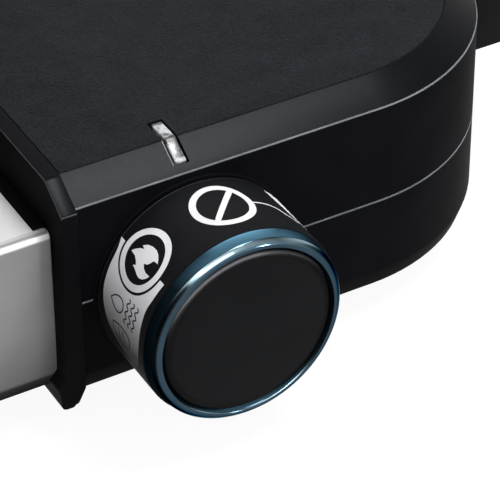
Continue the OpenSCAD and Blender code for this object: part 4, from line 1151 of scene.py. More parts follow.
def keel_flare(side):
    """Swelling at the foot of a cheek plate, over the end of the fascia's lower bend."""
    profile = [
        (-4.0, 19.1), (-4.4, 18.9), (-5.6, 17.8), (-6.7, 16.4), (-7.4, 15.4), (-7.5, 14.6),
        (-7.1, 13.0), (-6.8, 11.5), (-6.8, 9.3), (-6.4, 8.5), (-5.6, 8.15), (-3.7, 8.1),
        (-3.1, 8.5), (-2.7, 9.3), (-2.7, 19.3),
    ]
    outline = [(side_place(side, x, 0)[0], z) for x, z in profile]
    return prism("keel_flare", outline, "Y", CHEEK_LOW[1] + 0.02, CHEEK_LOW[1] + 11.8, 0.5, 3)


def fascia_line(inset):
    """Side view of the fascia's sheet: shelf, bend, front face and lower bend."""
    front, low = FASCIA_LOW[1] + inset, FASCIA_LOW[2] + inset
    top, back = FASCIA_HIGH[2] - inset, FASCIA_LOW[1] + 18.2
    top_r, low_r = max(0.1, 1.9 - inset), max(0.1, 6.8 - inset)
    bend = arc(front + top_r, top - top_r, top_r, 90, 180, 8)
    lower_bend = arc(front + low_r, low + low_r, low_r, 180, 270, 12)
    return [(FASCIA_HIGH[1], top), *bend, *lower_bend, (back, low)]


def fascia():
    """Steel sheet of the front, with the tray's window and a notch for the fingers over it."""
    h = sizes("grill_housing")
    x0, x1 = FASCIA_LOW[0], FASCIA_HIGH[0]
    inner = list(reversed(fascia_line(h["sheet"])))
    stops = [(0, 0.8), (0.08, 0.45), (0.35, 0.14), (0.8, 0)]
    places = [(x0 + d, i) for d, i in stops] + [(x1 - d, i) for d, i in reversed(stops)]
    rings = [[(x, y, z) for y, z in fascia_line(inset) + inner] for x, inset in places]
    sheet = loft("fascia_sheet", rings)
    low, high = node_box("tray_front")
    openings = (
        (low[0] - 0.7, high[0] + 0.7, low[2] - 0.7, high[2] + 0.7, 2),
        (BOX_MID - 42, BOX_MID + 42, low[2] + 3.3, high[2] + 10.7, 8),
    )
    y0, y1 = FASCIA_LOW[1] - 1, FASCIA_LOW[1] + 2.4
    cutters = [prism("window", round_rect(*opening, 6), "Y", y0, y1) for opening in openings]
    front, back = (STRIP_LOW[1] - 0.1, STRIP_LOW[2] - 1), (STRIP_HIGH[1] + 1, FASCIA_HIGH[2] + 1)
    for a, b in ((x0 - 1, x0 + 3.4), (x1 - 3.4, x1 + 1)):
        cutters.append(block("end", (a, *front), (b, *back)))
    return tidy_mesh(cut(sheet, *cutters), 25)


def shelf_strips():
    """Dark strips at the shelf's ends, with rounded tops."""
    pieces, (z0, z1) = [], (STRIP_LOW[2], STRIP_HIGH[2])
    for x in (STRIP_LOW[0], STRIP_HIGH[0] - 3.3):
        outline = fillet([(x, z0), (x + 3.3, z0), (x + 3.3, z1), (x, z1)], 0.35)
        pieces.append(prism("strip", outline, "Y", STRIP_LOW[1], STRIP_HIGH[1], 0.3))
    return join("shelf_strips", pieces)


# ---- Knob ----


def knob_seat():
    """Thin seat ring that the knob turns on, with a soft outer edge."""
    radius = sizes("grill_knob")["seat_radius"] - 0.9
    profile = [
        (5.15, -4), (11, -4), (11, -0.02), (radius, -0.02), (radius - 0.05, 0.3),
        (radius - 0.3, 0.5), (radius - 1.6, 0.6), (5.15, 0.6),
    ]
    return revolve("knob_seat", profile)


def knob_body():
    """Knob's sleeve with its hub; its back edge is marked for a painted highlight line."""
    r, back, rim = KNOB_R, FRONT_Y - SLEEVE_HIGH[1], RING_BACK
    inner = r - sizes("grill_knob")["sleeve_wall"]
    profile = [
        (0, rim), (r - 0.3, rim), (r - 0.08, rim - 0.08), (r, rim - 0.3), (r, back + 0.4),
        (r - 0.1, back + 0.12), (r - 0.4, back), (inner, back), (inner, rim - 2.4), (7, rim - 2.4),
        (7, 7.4), (3.05, 7.4), (3.05, rim - 4.38), (0, rim - 4.38),
    ]
    # Band 1, the back edge, takes a painted highlight
    return revolve("knob_body", profile, KNOB_STEPS, [0] * 4 + [1] * 2 + [0] * 8)


def knob_ring():
    """Bright ring with a soft chamfer up to its crest; its outer face leans in a little."""
    inner = RING_R - sizes("grill_knob")["ring_width"]
    crown = [
        (0.4, 1.9), (0.47, 1.6), (0.62, 1.33), (0.95, 0.97), (1.3, 0.62), (1.62, 0.34), (1.9, 0.14),
        (2.2, 0.03), (2.45, 0.0), (2.65, 0.05), (2.86, 0.2), (3.03, 0.48), (3.12, 0.9),
    ]
    profile = [(RING_R, RING_BACK), (RING_R - 0.04, RING_BACK + 0.7)]
    profile += [(RING_R - reach, RING_CREST - drop) for reach, drop in crown]
    profile += [(inner, RING_CREST - 1.4), (inner, RING_BACK)]
    return revolve("knob_bright_ring", profile, KNOB_STEPS)


def knob_face():
    """Matte face: slightly crowned with a soft lip round its edge, which is marked for a painted
    highlight.
    """
    k, rise, run = sizes("grill_knob"), 1.2, 2.0
    radius, foot = RING_R - k["ring_width"] - k["groove"], FACE_LIP - rise
    turns = [math.radians(a) for a in range(10, 91, 10)]
    profile = [(0, RING_BACK), (radius, RING_BACK), (radius, foot)]
    profile += [(radius - run + run * math.cos(t), foot + rise * math.sin(t)) for t in turns]
    profile += [(radius * s, FACE_LIP + 0.5 * (1 - s * s)) for s in (0.85, 0.7, 0.5, 0.3, 0.15)]
    profile += [(0, FACE_LIP + 0.52)]
    return revolve("knob_face", profile, KNOB_STEPS, [0, 0] + [1] * 9 + [0] * 7)


# ---- Print on the knob ----


def wrapped(s, d, lift):
    """Point on the sleeve: s is the arc from its top towards the left, d the distance out."""
    a = s / KNOB_R
    r = KNOB_R + lift
    return (KNOB_X - r * math.sin(a), FRONT_Y - d, KNOB_Z + r * math.cos(a))


def filled(outline, grid=1.2):
    """Triangles inside an outline, with inner points close enough to follow the sleeve."""
    xs, ys = zip(*outline)
    points = [Vector(p) for p in outline]
    edges = [(i, (i + 1) % len(outline)) for i in range(len(outline))]
    for x in steps_between(min(xs), max(xs), grid):
        for y in steps_between(min(ys), max(ys), grid):
            if inside(x, y, outline) and clear_of(x, y, outline, grid * 0.45):
                points.append(Vector((x, y)))
    verts, _, faces, *_ = delaunay_2d_cdt(points, edges, [], 1, 1e-5)
    return [tuple(v) for v in verts], [tuple(f) for f in faces]


def steps_between(low, high, grid):
    place = low + grid / 2
    while place < high:
        yield place
        place += grid


def inside(x, y, outline):
    hit = False
    for i, (x1, y1) in enumerate(outline):
        x0, y0 = outline[i - 1]
        if (y0 > y) != (y1 > y) and x < (x1 - x0) * (y - y0) / (y1 - y0) + x0:
            hit = not hit
    return hit


def clear_of(x, y, outline, gap):
    return all((x - a) ** 2 + (y - b) ** 2 > gap * gap for a, b in outline)


def curve_through(points, steps=6):
    """Smooth line through points."""
    last = len(points) - 1
    result = []
    for i in range(last):
        p = [points[max(0, min(last, i + k))] for k in (-1, 0, 1, 2)]
        for t in [k / steps for k in range(steps)]:
            result.append(tuple(
                0.5 * (2 * b + (c - a) * t + (2 * a - 5 * b + 4 * c - d) * t * t
                       + (3 * b - a - 3 * c + d) * t ** 3)
                for a, b, c, d in zip(*p)
            ))
    return result + [tuple(points[-1])]


def stroke(points, width):
    """Outline of a line of a width with round ends, as quads and end fans."""
    last = len(points) - 1
    verts = []
    for i, p in enumerate(points):
        along = (Vector(points[min(last, i + 1)]) - Vector(points[max(0, i - 1)])).normalized()
        across = Vector((-along.y, along.x)) * width / 2
        verts += [tuple(Vector(p) + across), tuple(Vector(p) - across)]
    faces = [(2 * i, 2 * i + 1, 2 * i + 3, 2 * i + 2) for i in range(last)]
    for end, other, corners in ((0, 1, (1, 0)), (last, last - 1, (2 * last, 2 * last + 1))):
        centre = Vector(points[end])
        out = (centre - Vector(points[other])).normalized()
        across = Vector((-out.y, out.x))
        base = len(verts)
        for a in [math.pi * k / 6 for k in range(1, 6)]:
            verts.append(tuple(centre + (across * math.cos(a) + out * math.sin(a)) * width / 2))
        faces.append((corners[0], *range(base, base + 5), corners[1]))
    return verts, faces


def annulus(cx, cy, outer, inner, steps=96):
    verts, faces = [], []
    for i in range(steps):
        a = 2 * math.pi * i / steps
        for r in (outer, (outer + inner) / 2, inner):
            verts.append((cx + r * math.cos(a), cy + r * math.sin(a)))
    for i in range(steps):
        a, b = 3 * i, 3 * ((i + 1) % steps)
        faces += [(a, a + 1, b + 1, b), (a + 1, a + 2, b + 2, b + 1)]
    return verts, faces


def ink(name, figures, lift):
    """Printed figures as one thin closed skin wrapped round the sleeve."""
    verts, faces = [], []
    for points, shapes in figures:
        base, count = len(verts), len(points)
        verts += [wrapped(s, d, height) for height in (lift, -INK_SINK) for s, d in points]
        edges = {}
        for shape in shapes:
            turn = sum(
                points[a][0] * points[b][1] - points[b][0] * points[a][1]
                for a, b in zip(shape[-1:] + shape[:-1], shape)
            )
            shape = shape if turn > 0 else tuple(reversed(shape))
            faces.append(tuple(base + i for i in shape))
            faces.append(tuple(base + count + i for i in reversed(shape)))
            for a, b in zip(shape[-1:] + shape[:-1], shape):
                if (b, a) in edges:
                    del edges[(b, a)]
                else:
                    edges[(a, b)] = True
        faces += [(base + a, base + count + a, base + count + b, base + b) for a, b in edges]
    return tidy_mesh(mesh_object(name, verts, faces))


def light_figures():
    """Two printed rings, slash, flame, the two light bands and a thin line."""
    k = sizes("grill_knob")
    r, w = k["symbol_radius"], k["symbol_stroke"]
    off, heat = (-2.0, 12.6), (21.7, 12.4)
    slash = [(-6.1 + 7.8 * i / 12, 8.3 + 8.85 * i / 12) for i in range(13)]
    tongues = [
        (0.8, -5.2), (-0.2, -4.4), (-1.2, -3.2), (-1.8, -1.9), (-2.1, -3.1), (-3.2, -1.8),
        (-3.7, -0.2), (-3.8, 1.5), (-3.3, 3), (-2.6, 4), (-1.7, 4.8), (-1.7, 3.9), (-1.4, 3.1),
        (-0.7, 2.8), (0.2, 2.2), (0.7, 1), (1.5, 1.9), (1.9, 3.2), (1.8, 5.1), (2.7, 4.6),
        (3.7, 3.5), (4.1, 2.2), (3.9, 1.1), (3.3, -0.5), (2.9, -1.9), (2.6, -1.4), (2.4, -1),
        (1.7, -1.8), (1, -3.1),
    ]
    flame = [(heat[0] + u, heat[1] + v) for u, v in tongues]
    band = curve_through([
        (22.1, 1.63), (25.2, 2.9), (30.8, 3.2), (36.1, 3.7), (40.9, 5.4), (45.1, 8.4),
        (47.6, 12.4), (49.2, 16.2), (49.6, 18.5),
    ], steps=4)
    band += curve_through([
        (48.4, 20.2), (45.6, 21.9), (40.6, 22.6), (35.5, 22.4), (30.4, 22.2), (26.7, 22.75),
        (22.1, 23.2),
    ], steps=4)
    start, end = (
        math.degrees(math.atan2(d - heat[1], s - heat[0])) for s, d in ((22.1, 21.25), (22.1, 3.6))
    )
    band += arc(*heat, r + 0.7, start, end, 40)
    side = [(-19.9, 4.2), (-20.8, 8), (-22.2, 12), (-24.2, 15.5), (-27.0, 17.0)]
    side = curve_through(side, steps=4)
    side += [(-27.0 - i * 2.1, 17.0 - 0.02 * i) for i in range(1, 11)]
    side += curve_through([(-49.0, 14.0), (-49.2, 9.0), (-47.6, 4.2)], steps=3)
    side += [(-47.6 + i * 2.5, 4.2) for i in range(1, 11)]
    line = [(-10.3, 13.2), (-13, 13.3), (-15.5, 13.8), (-17.6, 14.9), (-19.2, 16.2), (-22.6, 17.6)]
    return [
        annulus(*off, r, r - w), stroke(slash, 1.5), annulus(*heat, r, r - w), filled(flame, 1.0),
        filled(band), filled(side), stroke(curve_through(line), 0.45),
    ]


def dark_figures():
    """Line pictograms on the light band: a leaf, three waves and a plain grid mark."""
    leaf = [(35.3, 7.6), (33.9, 9.2), (33.3, 11.2), (33.8, 12.9), (35.4, 13.5), (36.9, 12.6),
            (37.3, 10.9), (36.6, 9.1), (35.3, 7.6)]
    mark = [(41.0, 9.6), (40.4, 12.0), (40.3, 15.2), (41.2, 17.6), (43.4, 18.0), (45.2, 16.6),
            (45.5, 14.2), (44.4, 11.6), (42.8, 9.9), (41.0, 9.6)]
    run = [0.3 * i for i in range(23)]
    lines = [(curve_through(leaf, steps=4), 0.38)]
    for d in (15.2, 17.2, 19.2):
        wave = [(31.6 + s, d + 0.55 * math.sin(s / 2.2 * 2 * math.pi)) for s in run]
        lines.append((wave, 0.42))
    lines.append((curve_through(mark, steps=4), 0.35))
    lines += [([(41.4, d), (42.8, d + 0.5), (44.2, d + 0.9)], 0.3) for d in (12.4, 14.4)]
    return [stroke(*line) for line in lines]


# ---- Side handles, lid and hinges ----


def side_handle(side, node):
    """Loop handle with soft edges all round."""
    piece = rounded_copy(node, "side_grip_" + side, 2.6, 5, 40)
    if side == "right":
        piece.data.transform(Matrix.Translation((OUTER_SHIFT * MM, 0, -HANDLE_DROP * MM)))
    return piece


def lid_ring(inset, z):
    """Outline of the lid at a height, its corners growing rounder up the dome."""
    (x0, y0, _), (x1, y1, _) = RIM_LOW, RIM_HIGH
    radius = sizes("grill_lid")["corner_radius"] + 0.35 * inset
    outline = round_rect(x0 + inset, x1 - inset, y0 + inset, y1 - inset, radius, 12)
    return at_height(outline, z)


def window_ring(grow, z):
    """Outline of the lid's window, grown or shrunk."""
    (x0, y0, _), (x1, y1, _) = GLASS_LOW, GLASS_HIGH
    g, radius = grow - 6, sizes("grill_lid")["window_radius"] + grow
    return at_height(round_rect(x0 - g, x1 + g, y0 - g, y1 + g, radius, 12), z)


def lid_crown():
    """Domed crown with its window opening, one wall of even thickness."""
    s = sizes("grill_lid")
    low, top, metal = CROWN_LOW[2], CROWN_HIGH[2], s["metal"]
    spring, foot = low + 2, LID_INSET
    turns = [math.radians(90 * i / 20) for i in range(21)]

    def dome(wall, turn):
        run, rise = s["dome_run"] - wall, top - spring - wall
        return lid_ring(foot + wall + run * (1 - math.cos(turn)), spring + rise * math.sin(turn))

    rings = [lid_ring(foot + 0.25, low), lid_ring(foot, low + 0.25)]
    rings += [dome(0, turn) for turn in turns]
    rings += [window_ring(8.3, top), window_ring(8, top - 0.3), window_ring(8, top - metal)]
    rings += [dome(metal, turn) for turn in reversed(turns)]
    return loft("lid_crown", rings + [lid_ring(foot + metal, low)], True)


def lid_band():
    """Upright band with vents at the back and a shadow line under the crown."""
    low, top = SKIRT_LOW[2], SKIRT_HIGH[2]
    edge = LID_INSET
    inner = edge + sizes("grill_lid")["metal"]
    rings = [
        (inner, low), (edge + 0.25, low), (edge, low + 0.25), (edge, top - 0.45),
        (edge + 0.45, top - 0.1), (edge + 0.6, top), (inner, top),
    ]
    band = loft("lid_band", [lid_ring(i, z) for i, z in rings], True)
    front, back = RIM_LOW[1], RIM_HIGH[1]
    holes = []
    for x in [BOX_MID + 12 * i for i in range(-3, 4)]:
        outline = round_rect(x - 2.5, x + 2.5, top - 16, top - 4, 2.4, 4)
        holes.append(prism("vent", outline, "Y", back - 8, back + 1))
    low, high = node_box("lid_handle_posts")
    for s in (-1, 1):
        place = (BOX_MID + s * ((high[0] - low[0]) / 2 - 9), (low[2] + high[2]) / 2)
        holes.append(rod("hole", "Y", place, front - 1, front + 5, 2.6, 24))
    return tidy_mesh(cut(band, *holes))


def lid_edge():
    """Steel rim folded round the lid's foot, with a rolled lower edge."""
    low, top = RIM_LOW[2], RIM_HIGH[2]
    rings = [
        (4.2, low + 1.2), (4.2, low + 0.4), (3.8, low), (0.9, low), (0.35, low + 0.2),
        (0.08, low + 0.5), (0, low + 0.9), (0, top - 0.35), (0.12, top - 0.1), (0.35, top),
        (1.15, top), (1.15, low + 1.2),
    ]
    return loft("lid_edge", [lid_ring(i, z) for i, z in rings], True)


def lid_window():
    low, top = GLASS_LOW[2], GLASS_HIGH[2]
    rings = [(5.6, low), (6, low + 0.4), (6, top - 0.4), (5.6, top)]
    return loft("lid_window", [window_ring(g, z) for g, z in rings])


def lid_frame():
    """Steel frame over the window's seal, rounded on its top edges."""
    low, top = BEZEL_LOW[2], BEZEL_HIGH[2]
    rings = [
        (12.2, low), (12.2, top - 0.6), (12.02, top - 0.2), (11.6, top), (2.2, top),
        (1.7, top - 0.08), (1.2, top - 0.35), (1, top - 0.7), (1, top - 1.2), (11.05, top - 1.2),
        (11.05, low),
    ]
    return loft("lid_frame", [window_ring(g, z) for g, z in rings], True)


def lid_bar():
    """Round handle with a shallow waist at each end and rounded end caps."""
    low, high = node_box("lid_handle_bar")
    r = sizes("grill_lid")["bar_radius"]
    y, z, half = (low[1] + high[1]) / 2, (low[2] + high[2]) / 2, (high[0] - low[0]) / 2
    stops = [(half, r - 3.4)]
    stops += [(half - 2.2 + 2.2 * math.cos(t), r - 2.2 + 2.2 * math.sin(t)) for t in quarter(6)]
    stops += [(half - 9, r), (half - 9.3, r - 0.3), (half - 9.7, r - 0.3), (half - 10, r)]
    stops += [(-x, radius) for x, radius in reversed(stops)]
    rings = [[(BOX_MID + x, *p) for p in circle(y, z, radius, 64)] for x, radius in stops]
    return loft("lid_bar", rings)


# ---- Cooking box, tray and grates ----


def box_rings(low, high, rings):
    """Round rectangles set in from a box, from (inset, height, corner radius) rows."""
    return [
        at_height(round_rect(low[0] + i, high[0] - i, low[1] + i, high[1] - i, r, 8), z)
        for i, z, r in rings
    ]


def tray_bowl():
    """Pressed tray with round corners, soft inner edges and a folded rim."""
    low, high = node_box("drip_tray")
    t, base, top = 1.4, low[2], high[2]
    rings = [
        (t + 2.2, base + t, 3), (t + 0.9, base + t + 0.25, 4), (t + 0.25, base + t + 0.9, 4.6),
        (t, base + t + 2.2, 4.8), (t, top - 0.45, 4.8), (t - 0.2, top - 0.12, 5),
        (t - 0.5, top, 5.2), (0.5, top, 5.2), (0.15, top - 0.15, 5.2), (0, top - 0.5, 5.2),
        (0, base + 2.2, 5.2), (0.3, base + 0.9, 5), (0.95, base + 0.2, 4.6), (2.2, base, 3.6),
    ]
    return loft("tray_bowl", box_rings(low, high, rings))


def row_of_bars(name):
    """Node tree that repeats the piece along a straight row."""
    inputs = {"Geometry": "Geometry", "Count": "Int", "Start": "Vector", "Step": "Vector"}
    inputs["Finish"] = "Material"
    _, given, leave = new_group(name, inputs, {"Geometry": "Geometry"}, "GeometryNodeTree")
    links = {"Count": given["Count"], "Start Location": given["Start"], "Offset": given["Step"]}
    line = fed_node("GeometryNodeMeshLine", links)
    links = {"Points": line.outputs[0], "Instance": given["Geometry"]}
    placed = fed_node("GeometryNodeInstanceOnPoints", links)
    return finish_up(placed, given["Finish"], leave)


def finish_up(instances, surface_socket, leave):
    """Turns instances into a painted mesh at the end of a tree."""
    real = fed_node("GeometryNodeRealizeInstances", {0: instances.outputs[0]})
    links = {"Geometry": real.outputs[0], "Material": surface_socket}
    wire(leave, {0: fed_node("GeometryNodeSetMaterial", links).outputs[0]})
    return leave.id_data


def pieces_at_points(name):
    """Node tree that puts a master piece at every point, each turned a little differently."""
    inputs = {
        "Geometry": "Geometry", "Master": "Object", "Direction": "Vector", "Turn Range": "Float",
        "Seed": "Int", "Finish": "Material",
    }
    _, given, leave = new_group(name, inputs, {"Geometry": "Geometry"}, "GeometryNodeTree")
    master = fed_node("GeometryNodeObjectInfo", {"Object": given["Master"]})
    links = {"Vector": given["Direction"]}
    aim = fed_node("FunctionNodeAlignRotationToVector", links, axis="Z")
    links = {3: given["Turn Range"], "Seed": given["Seed"]}
    chance = fed_node("FunctionNodeRandomValue", links, data_type="FLOAT")
    spin = fed_node("ShaderNodeCombineXYZ", {2: chance.outputs[1]})
    links = {
        "Points": given["Geometry"], "Instance": master.outputs["Geometry"],
        "Rotation": aim.outputs[0],
    }
    placed = fed_node("GeometryNodeInstanceOnPoints", links)
    links = {"Instances": placed.outputs[0], "Rotation": spin.outputs[0]}
    turned_round = fed_node("GeometryNodeRotateInstances", links)
    return finish_up(turned_round, given["Finish"], leave)


def run_tree(piece, build, surface_name, **inputs):
    """Applies a node tree with its inputs set by socket identifier, and keeps the plain mesh."""
    modifier = piece.modifiers.new("pattern", "NODES")
    modifier.node_group = shared(build)
    inputs["Finish"] = FINISHES[surface_name]
    for item in modifier.node_group.interface.items_tree:
        label = item.name.replace(" ", "_")
        if item.in_out == "INPUT" and label in inputs:
            modifier[item.identifier] = inputs[label]
    return apply_modifiers(piece)


def grate_bar(y0, y1, z0, height):
    """One bar: upright sides, round crest and rounded ends, lying along Y at X = 0."""
    half = sizes("grill_lid")["bar_width"] / 2
    outline = [(-half + 0.4, z0), (half - 0.4, z0), (half, z0 + 0.4)]
    outline += arc(0, z0 + height - half, half, 0, 180, 10)
    outline += [(-half, z0 + 0.4)]
    return prism("bar", outline, "Y", y0, y1, 0.3)


def grate(side, node):
    """Cast grate: a frame with a round top, bars set out by a node tree, and two ties."""
    low, high = node_box(node)
    (x0, y0, z0), (x1, y1, top) = low, high
    width, count = 7, bpy.context.scene.grill_lid.bars
    bar = sizes("grill_lid")["bar_width"]
    gap = (x1 - x0 - 2 * width - count * bar) / (count + 1)
    rings = [
        (0.5, z0, 4.5), (0, z0 + 0.5, 5), (0, top - 2, 5), (0.35, top - 0.9, 4.8),
        (1.1, top - 0.25, 4.4), (2.2, top, 3.6), (width - 2, top, 3.4),
        (width - 0.9, top - 0.25, 3.8), (width - 0.2, top - 0.9, 4), (width, top - 2, 4),
        (width, z0 + 0.5, 4), (width - 0.5, z0, 4.2),
    ]
    parts = [loft("frame", box_rings(low, high, rings), True)]
    bars = grate_bar(y0 + width / 2, y1 - width / 2, z0, top - z0 - 0.5)
    start, step = ((x * MM, 0.0, 0.0) for x in (x0 + width + gap + bar / 2, gap + bar))
    bars = run_tree(bars, row_of_bars, "grate_black", Count=count, Start=start, Step=step)
    parts.append(bars)
    for share in (1 / 3, 2 / 3):
        y = y0 + (y1 - y0) * share
        outline = fillet([(y - 2.5, z0), (y + 2.5, z0), (y + 2.5, z0 + 4), (y - 2.5, z0 + 4)], 0.8)
        parts.append(prism("tie", outline, "X", x0 + width / 2, x1 - width / 2, 0.3))
    return tidy_mesh(join("grate_piece_" + side, parts), 40, outwards=False)


# ---- Fasteners ----

# Radius of a small shank and height of a screw's head, in millimetres
SHANK_R = 1.7
SCREW_CAP = 2.4


def turned_master(name, profile, drive=0.0):
    """Fastener about Z with its head up, from (radius, height) points; a cross drive if asked."""
    place = lambda a, r, z: (r * math.cos(a), r * math.sin(a), z)
    verts, faces, _ = turned(profile, 28, place)
    master = tidy_mesh(mesh_object(name, verts, faces))
    if drive:
        top = max(z for _, z in profile)
        arms = ((drive * 0.16, drive), (drive, drive * 0.16))
        cut(master, *(block("arm", (-w, -l, top - 0.9), (w, l, top + 1)) for w, l in arms))
        tidy_mesh(master)
    return master


def fasteners(name, node, master, points, direction, spin, seed):
    """Fasteners of one kind at their points, as one mesh for one body."""
    piece = run_tree(
        mesh_object(name, points, []), pieces_at_points, "fastener_steel",
        Master=master, Direction=direction, Turn_Range=spin, Seed=seed,
    )
    bpy.data.objects.remove(master)
    dress(smooth(piece), node, "fastener_steel")


def screw_profile(radius, head, cap, reach):
    """Pan screw: its shank reaches below z = 0, its head has a radius and a height above it."""
    return [
        (0, -reach), (radius * 0.6, -reach), (radius, -reach + 0.8), (radius, 0),
        (head - 0.15, 0), (head, 0.15), (head, cap * 0.45), (head * 0.93, cap * 0.72),
        (head * 0.72, cap * 0.93), (head * 0.4, cap), (0, cap),
    ]


def island_boxes(node):
    """Lowest and highest corner of each separate solid of a CAD node, in millimetres."""
    shape = bmesh.new()
    shape.from_mesh(frame["nodes"][node].data)
    bmesh.ops.remove_doubles(shape, verts=shape.verts, dist=WELD)
    boxes, left = [], set(shape.verts)
    for start in shape.verts:
        if start not in left:
            continue
        left.discard(start)
        stack, members = [start], []
        while stack:
            vert = stack.pop()
            members.append(vert.co / MM)
            near = {edge.other_vert(vert) for edge in vert.link_edges} & left
            left -= near
            stack += near
        boxes.append([[pick(c[k] for c in members) for k in range(3)] for pick in (min, max)])
    shape.free()
    return boxes


def rivet_profile(radius, foot, crown):
    """Rivet with a round upset foot, a thinner shank and a crowned head from height 0."""
    return [
        (0, foot), (radius - 0.3, foot), (radius, foot + 0.3), (radius, foot + 1),
        (SHANK_R, foot + 1), (SHANK_R, 0), (radius - 0.15, 0), (radius, 0.15),
    ] + crown


def build_fasteners():
    """Screws and rivets that can be seen, each on the place of its CAD solid."""
    mid = lambda box, axis: (box[0][axis] + box[1][axis]) / 2
    span = lambda box, axis: box[1][axis] - box[0][axis]

    boxes = island_boxes("housing_screws")
    base_z = boxes[0][0][2] + SCREW_CAP
    profile = screw_profile(SHANK_R, 3.4, SCREW_CAP, boxes[0][1][2] - base_z)
    points = [(mid(b, 0), mid(b, 1), base_z) for b in boxes]
    master = turned_master("screw", profile, 1.9)
    fasteners("screws_under", "housing_screws", master, points, (0, 0, -1), 1.5, 3)

    boxes = island_boxes("tray_rivets")
    crown = [(3.1, 0.5), (2.3, 0.74), (1.2, 0.82), (0, 0.85)]
    master = turned_master("rivet", rivet_profile(3.4, 0.8 - span(boxes[0], 1), crown))
    points = [(mid(b, 0), b[0][1] + 0.8, mid(b, 2)) for b in boxes]
    fasteners("rivets_tray", "tray_rivets", master, points, (0, -1, 0), 0.0, 5)

    boxes = island_boxes("leaf_rivets")
    crown = [(2.5, 0.55), (1.7, 0.88), (0.8, 0.98), (0, 1)]
    master = turned_master("rivet", rivet_profile(2.8, 1 - span(boxes[0], 1), crown))
    points = [(mid(b, 0), b[1][1] - 1, mid(b, 2)) for b in boxes]
    fasteners("rivets_leaf", "leaf_rivets", master, points, (0, 1, 0), 0.0, 7)

    boxes = island_boxes("lid_handle_screws")
    profile = screw_profile(2.5, 4.6, SCREW_CAP, span(boxes[0], 1) - SCREW_CAP)
    points = [(mid(b, 0), b[1][1] - SCREW_CAP, mid(b, 2)) for b in boxes]
    master = turned_master("screw", profile, SCREW_CAP)
    fasteners("screws_lid", "lid_handle_screws", master, points, (0, 1, 0), 1.5, 11)


# Name and edge radius in millimetres of the pieces that keep their CAD shape
ROUNDED = {
    "window_gasket": ("lid_seal", 0.3), "lid_bumpers": ("lid_pads", 0.1),
    "base_pan": ("box_pan", 0.4), "cookbox_liner": ("box_liner", 0.35),
    "tray_rails": ("rail_pair", 0.3), "hinge_brackets": ("hinge_stands", 0.6),
    "rubber_feet": ("feet_pads", 0.7), "cord_bush": ("outlet_bush", 0.6),
    "element_tube": ("heating_tube", 0.0), "element_brackets": ("tube_rests", 0.2),
    "switch_nut": ("shaft_nut", 0.3), "tray_front": ("tray_plate", 0.45),
    "lid_handle_posts": ("lid_posts", 0.4), "lid_hinge_leaves": ("hinge_leaf_pair", 0.3),
    "hinge_pins": ("pin_pair", 0.35), "thermal_cutout": ("cutout_body", 0.3),
    "heater_leads": ("lead_pair_heater", 0.0), "supply_leads": ("lead_pair_supply", 0.0),
    "element_terminals": ("terminal_pair", 0.2), "rotary_switch": ("switch_block", 0.3),
    "switch_shaft": ("shaft_rod", 0.2), "control_board": ("board_with_parts", 0.3),
    "indicator_board": ("lamp_board", 0.15),
}


def build_rounded(*nodes):
    for node in nodes:
        dress(rounded_copy(node, *ROUNDED[node]), node)


def finish_nodes():
    """Gives every CAD node its record slot's finish."""
    for node, piece in frame["nodes"].items():
        if not piece.data.materials:
            piece.data.materials.append(FINISHES[SLOT_OF[node]])
        for place in piece.material_slots:
            place.link = "OBJECT"
            place.material = FINISHES[SLOT_OF[node]]


# ---- Stage ----


def light_path_mix(tree, plain, shown):
    """Mixes two shaders: the shown one for camera, glossy and transmission rays."""
    rays = add_node(tree, "ShaderNodeLightPath").outputs
    first = maths("MAXIMUM", rays["Is Camera Ray"], rays["Is Glossy Ray"])
    every = maths("MAXIMUM", first, rays["Is Transmission Ray"])
    return fed_node("ShaderNodeMixShader", {0: every, 1: plain, 2: shown}).outputs[0]


def build_world(ambient):
    """White surroundings that light the grill from all sides at the ambient level."""
    world = bpy.data.worlds.new("studio")
    world.use_nodes = True
    tree = world.node_tree
    tree.nodes.clear()
    soft, white = (
        add_node(tree, "ShaderNodeBackground", {"Color": (1, 1, 1, 1), "Strength": strength})
        for strength in (ambient, 1.0)
    )
    shown = light_path_mix(tree, soft.outputs[0], white.outputs[0])
    add_node(tree, "ShaderNodeOutputWorld", {0: shown})
    bpy.context.scene.world = world


def build_floor():
    """Pale round floor that keeps the grill's soft shadow."""
    floor = loft("studio_floor", [at_height(circle(0, 0, 3000, 96), z) for z in (-20, 0)])
    material, tree, shader = new_material(
        "floor_white", 0.9, specular=0.1, **{"Base Color": (0.55, 0.55, 0.55, 1)}
    )
    glow = add_node(tree, "ShaderNodeEmission", {"Color": (1, 1, 1, 1), "Strength": 0.93})
    dim = add_node(tree, "ShaderNodeBsdfDiffuse", {"Color": (0.1, 0.1, 0.1, 1)})
    both = fed_node("ShaderNodeAddShader", {0: dim.outputs[0], 1: glow.outputs[0]})
    shown = light_path_mix(tree, shader.outputs[0], both.outputs[0])
    wire(tree.nodes["Material Output"], {0: shown})
    floor.data.materials.clear()
    floor.data.materials.append(material)


def softbox(name, power, place, aim, width, height, roll=0):
    """Rectangular light at a place, aimed at a point and rolled by degrees."""
    data = bpy.data.lights.new(name, "AREA")
    data.shape = "RECTANGLE"
    data.size, data.size_y, data.energy = width, height, power
    lamp = new_object(name, data)
    lamp.location = place
    turn = (Vector(aim) - Vector(place)).to_track_quat("-Z", "Y").to_matrix()
    lamp.rotation_euler = (turn @ Matrix.Rotation(math.radians(roll), 3, "Z")).to_euler()


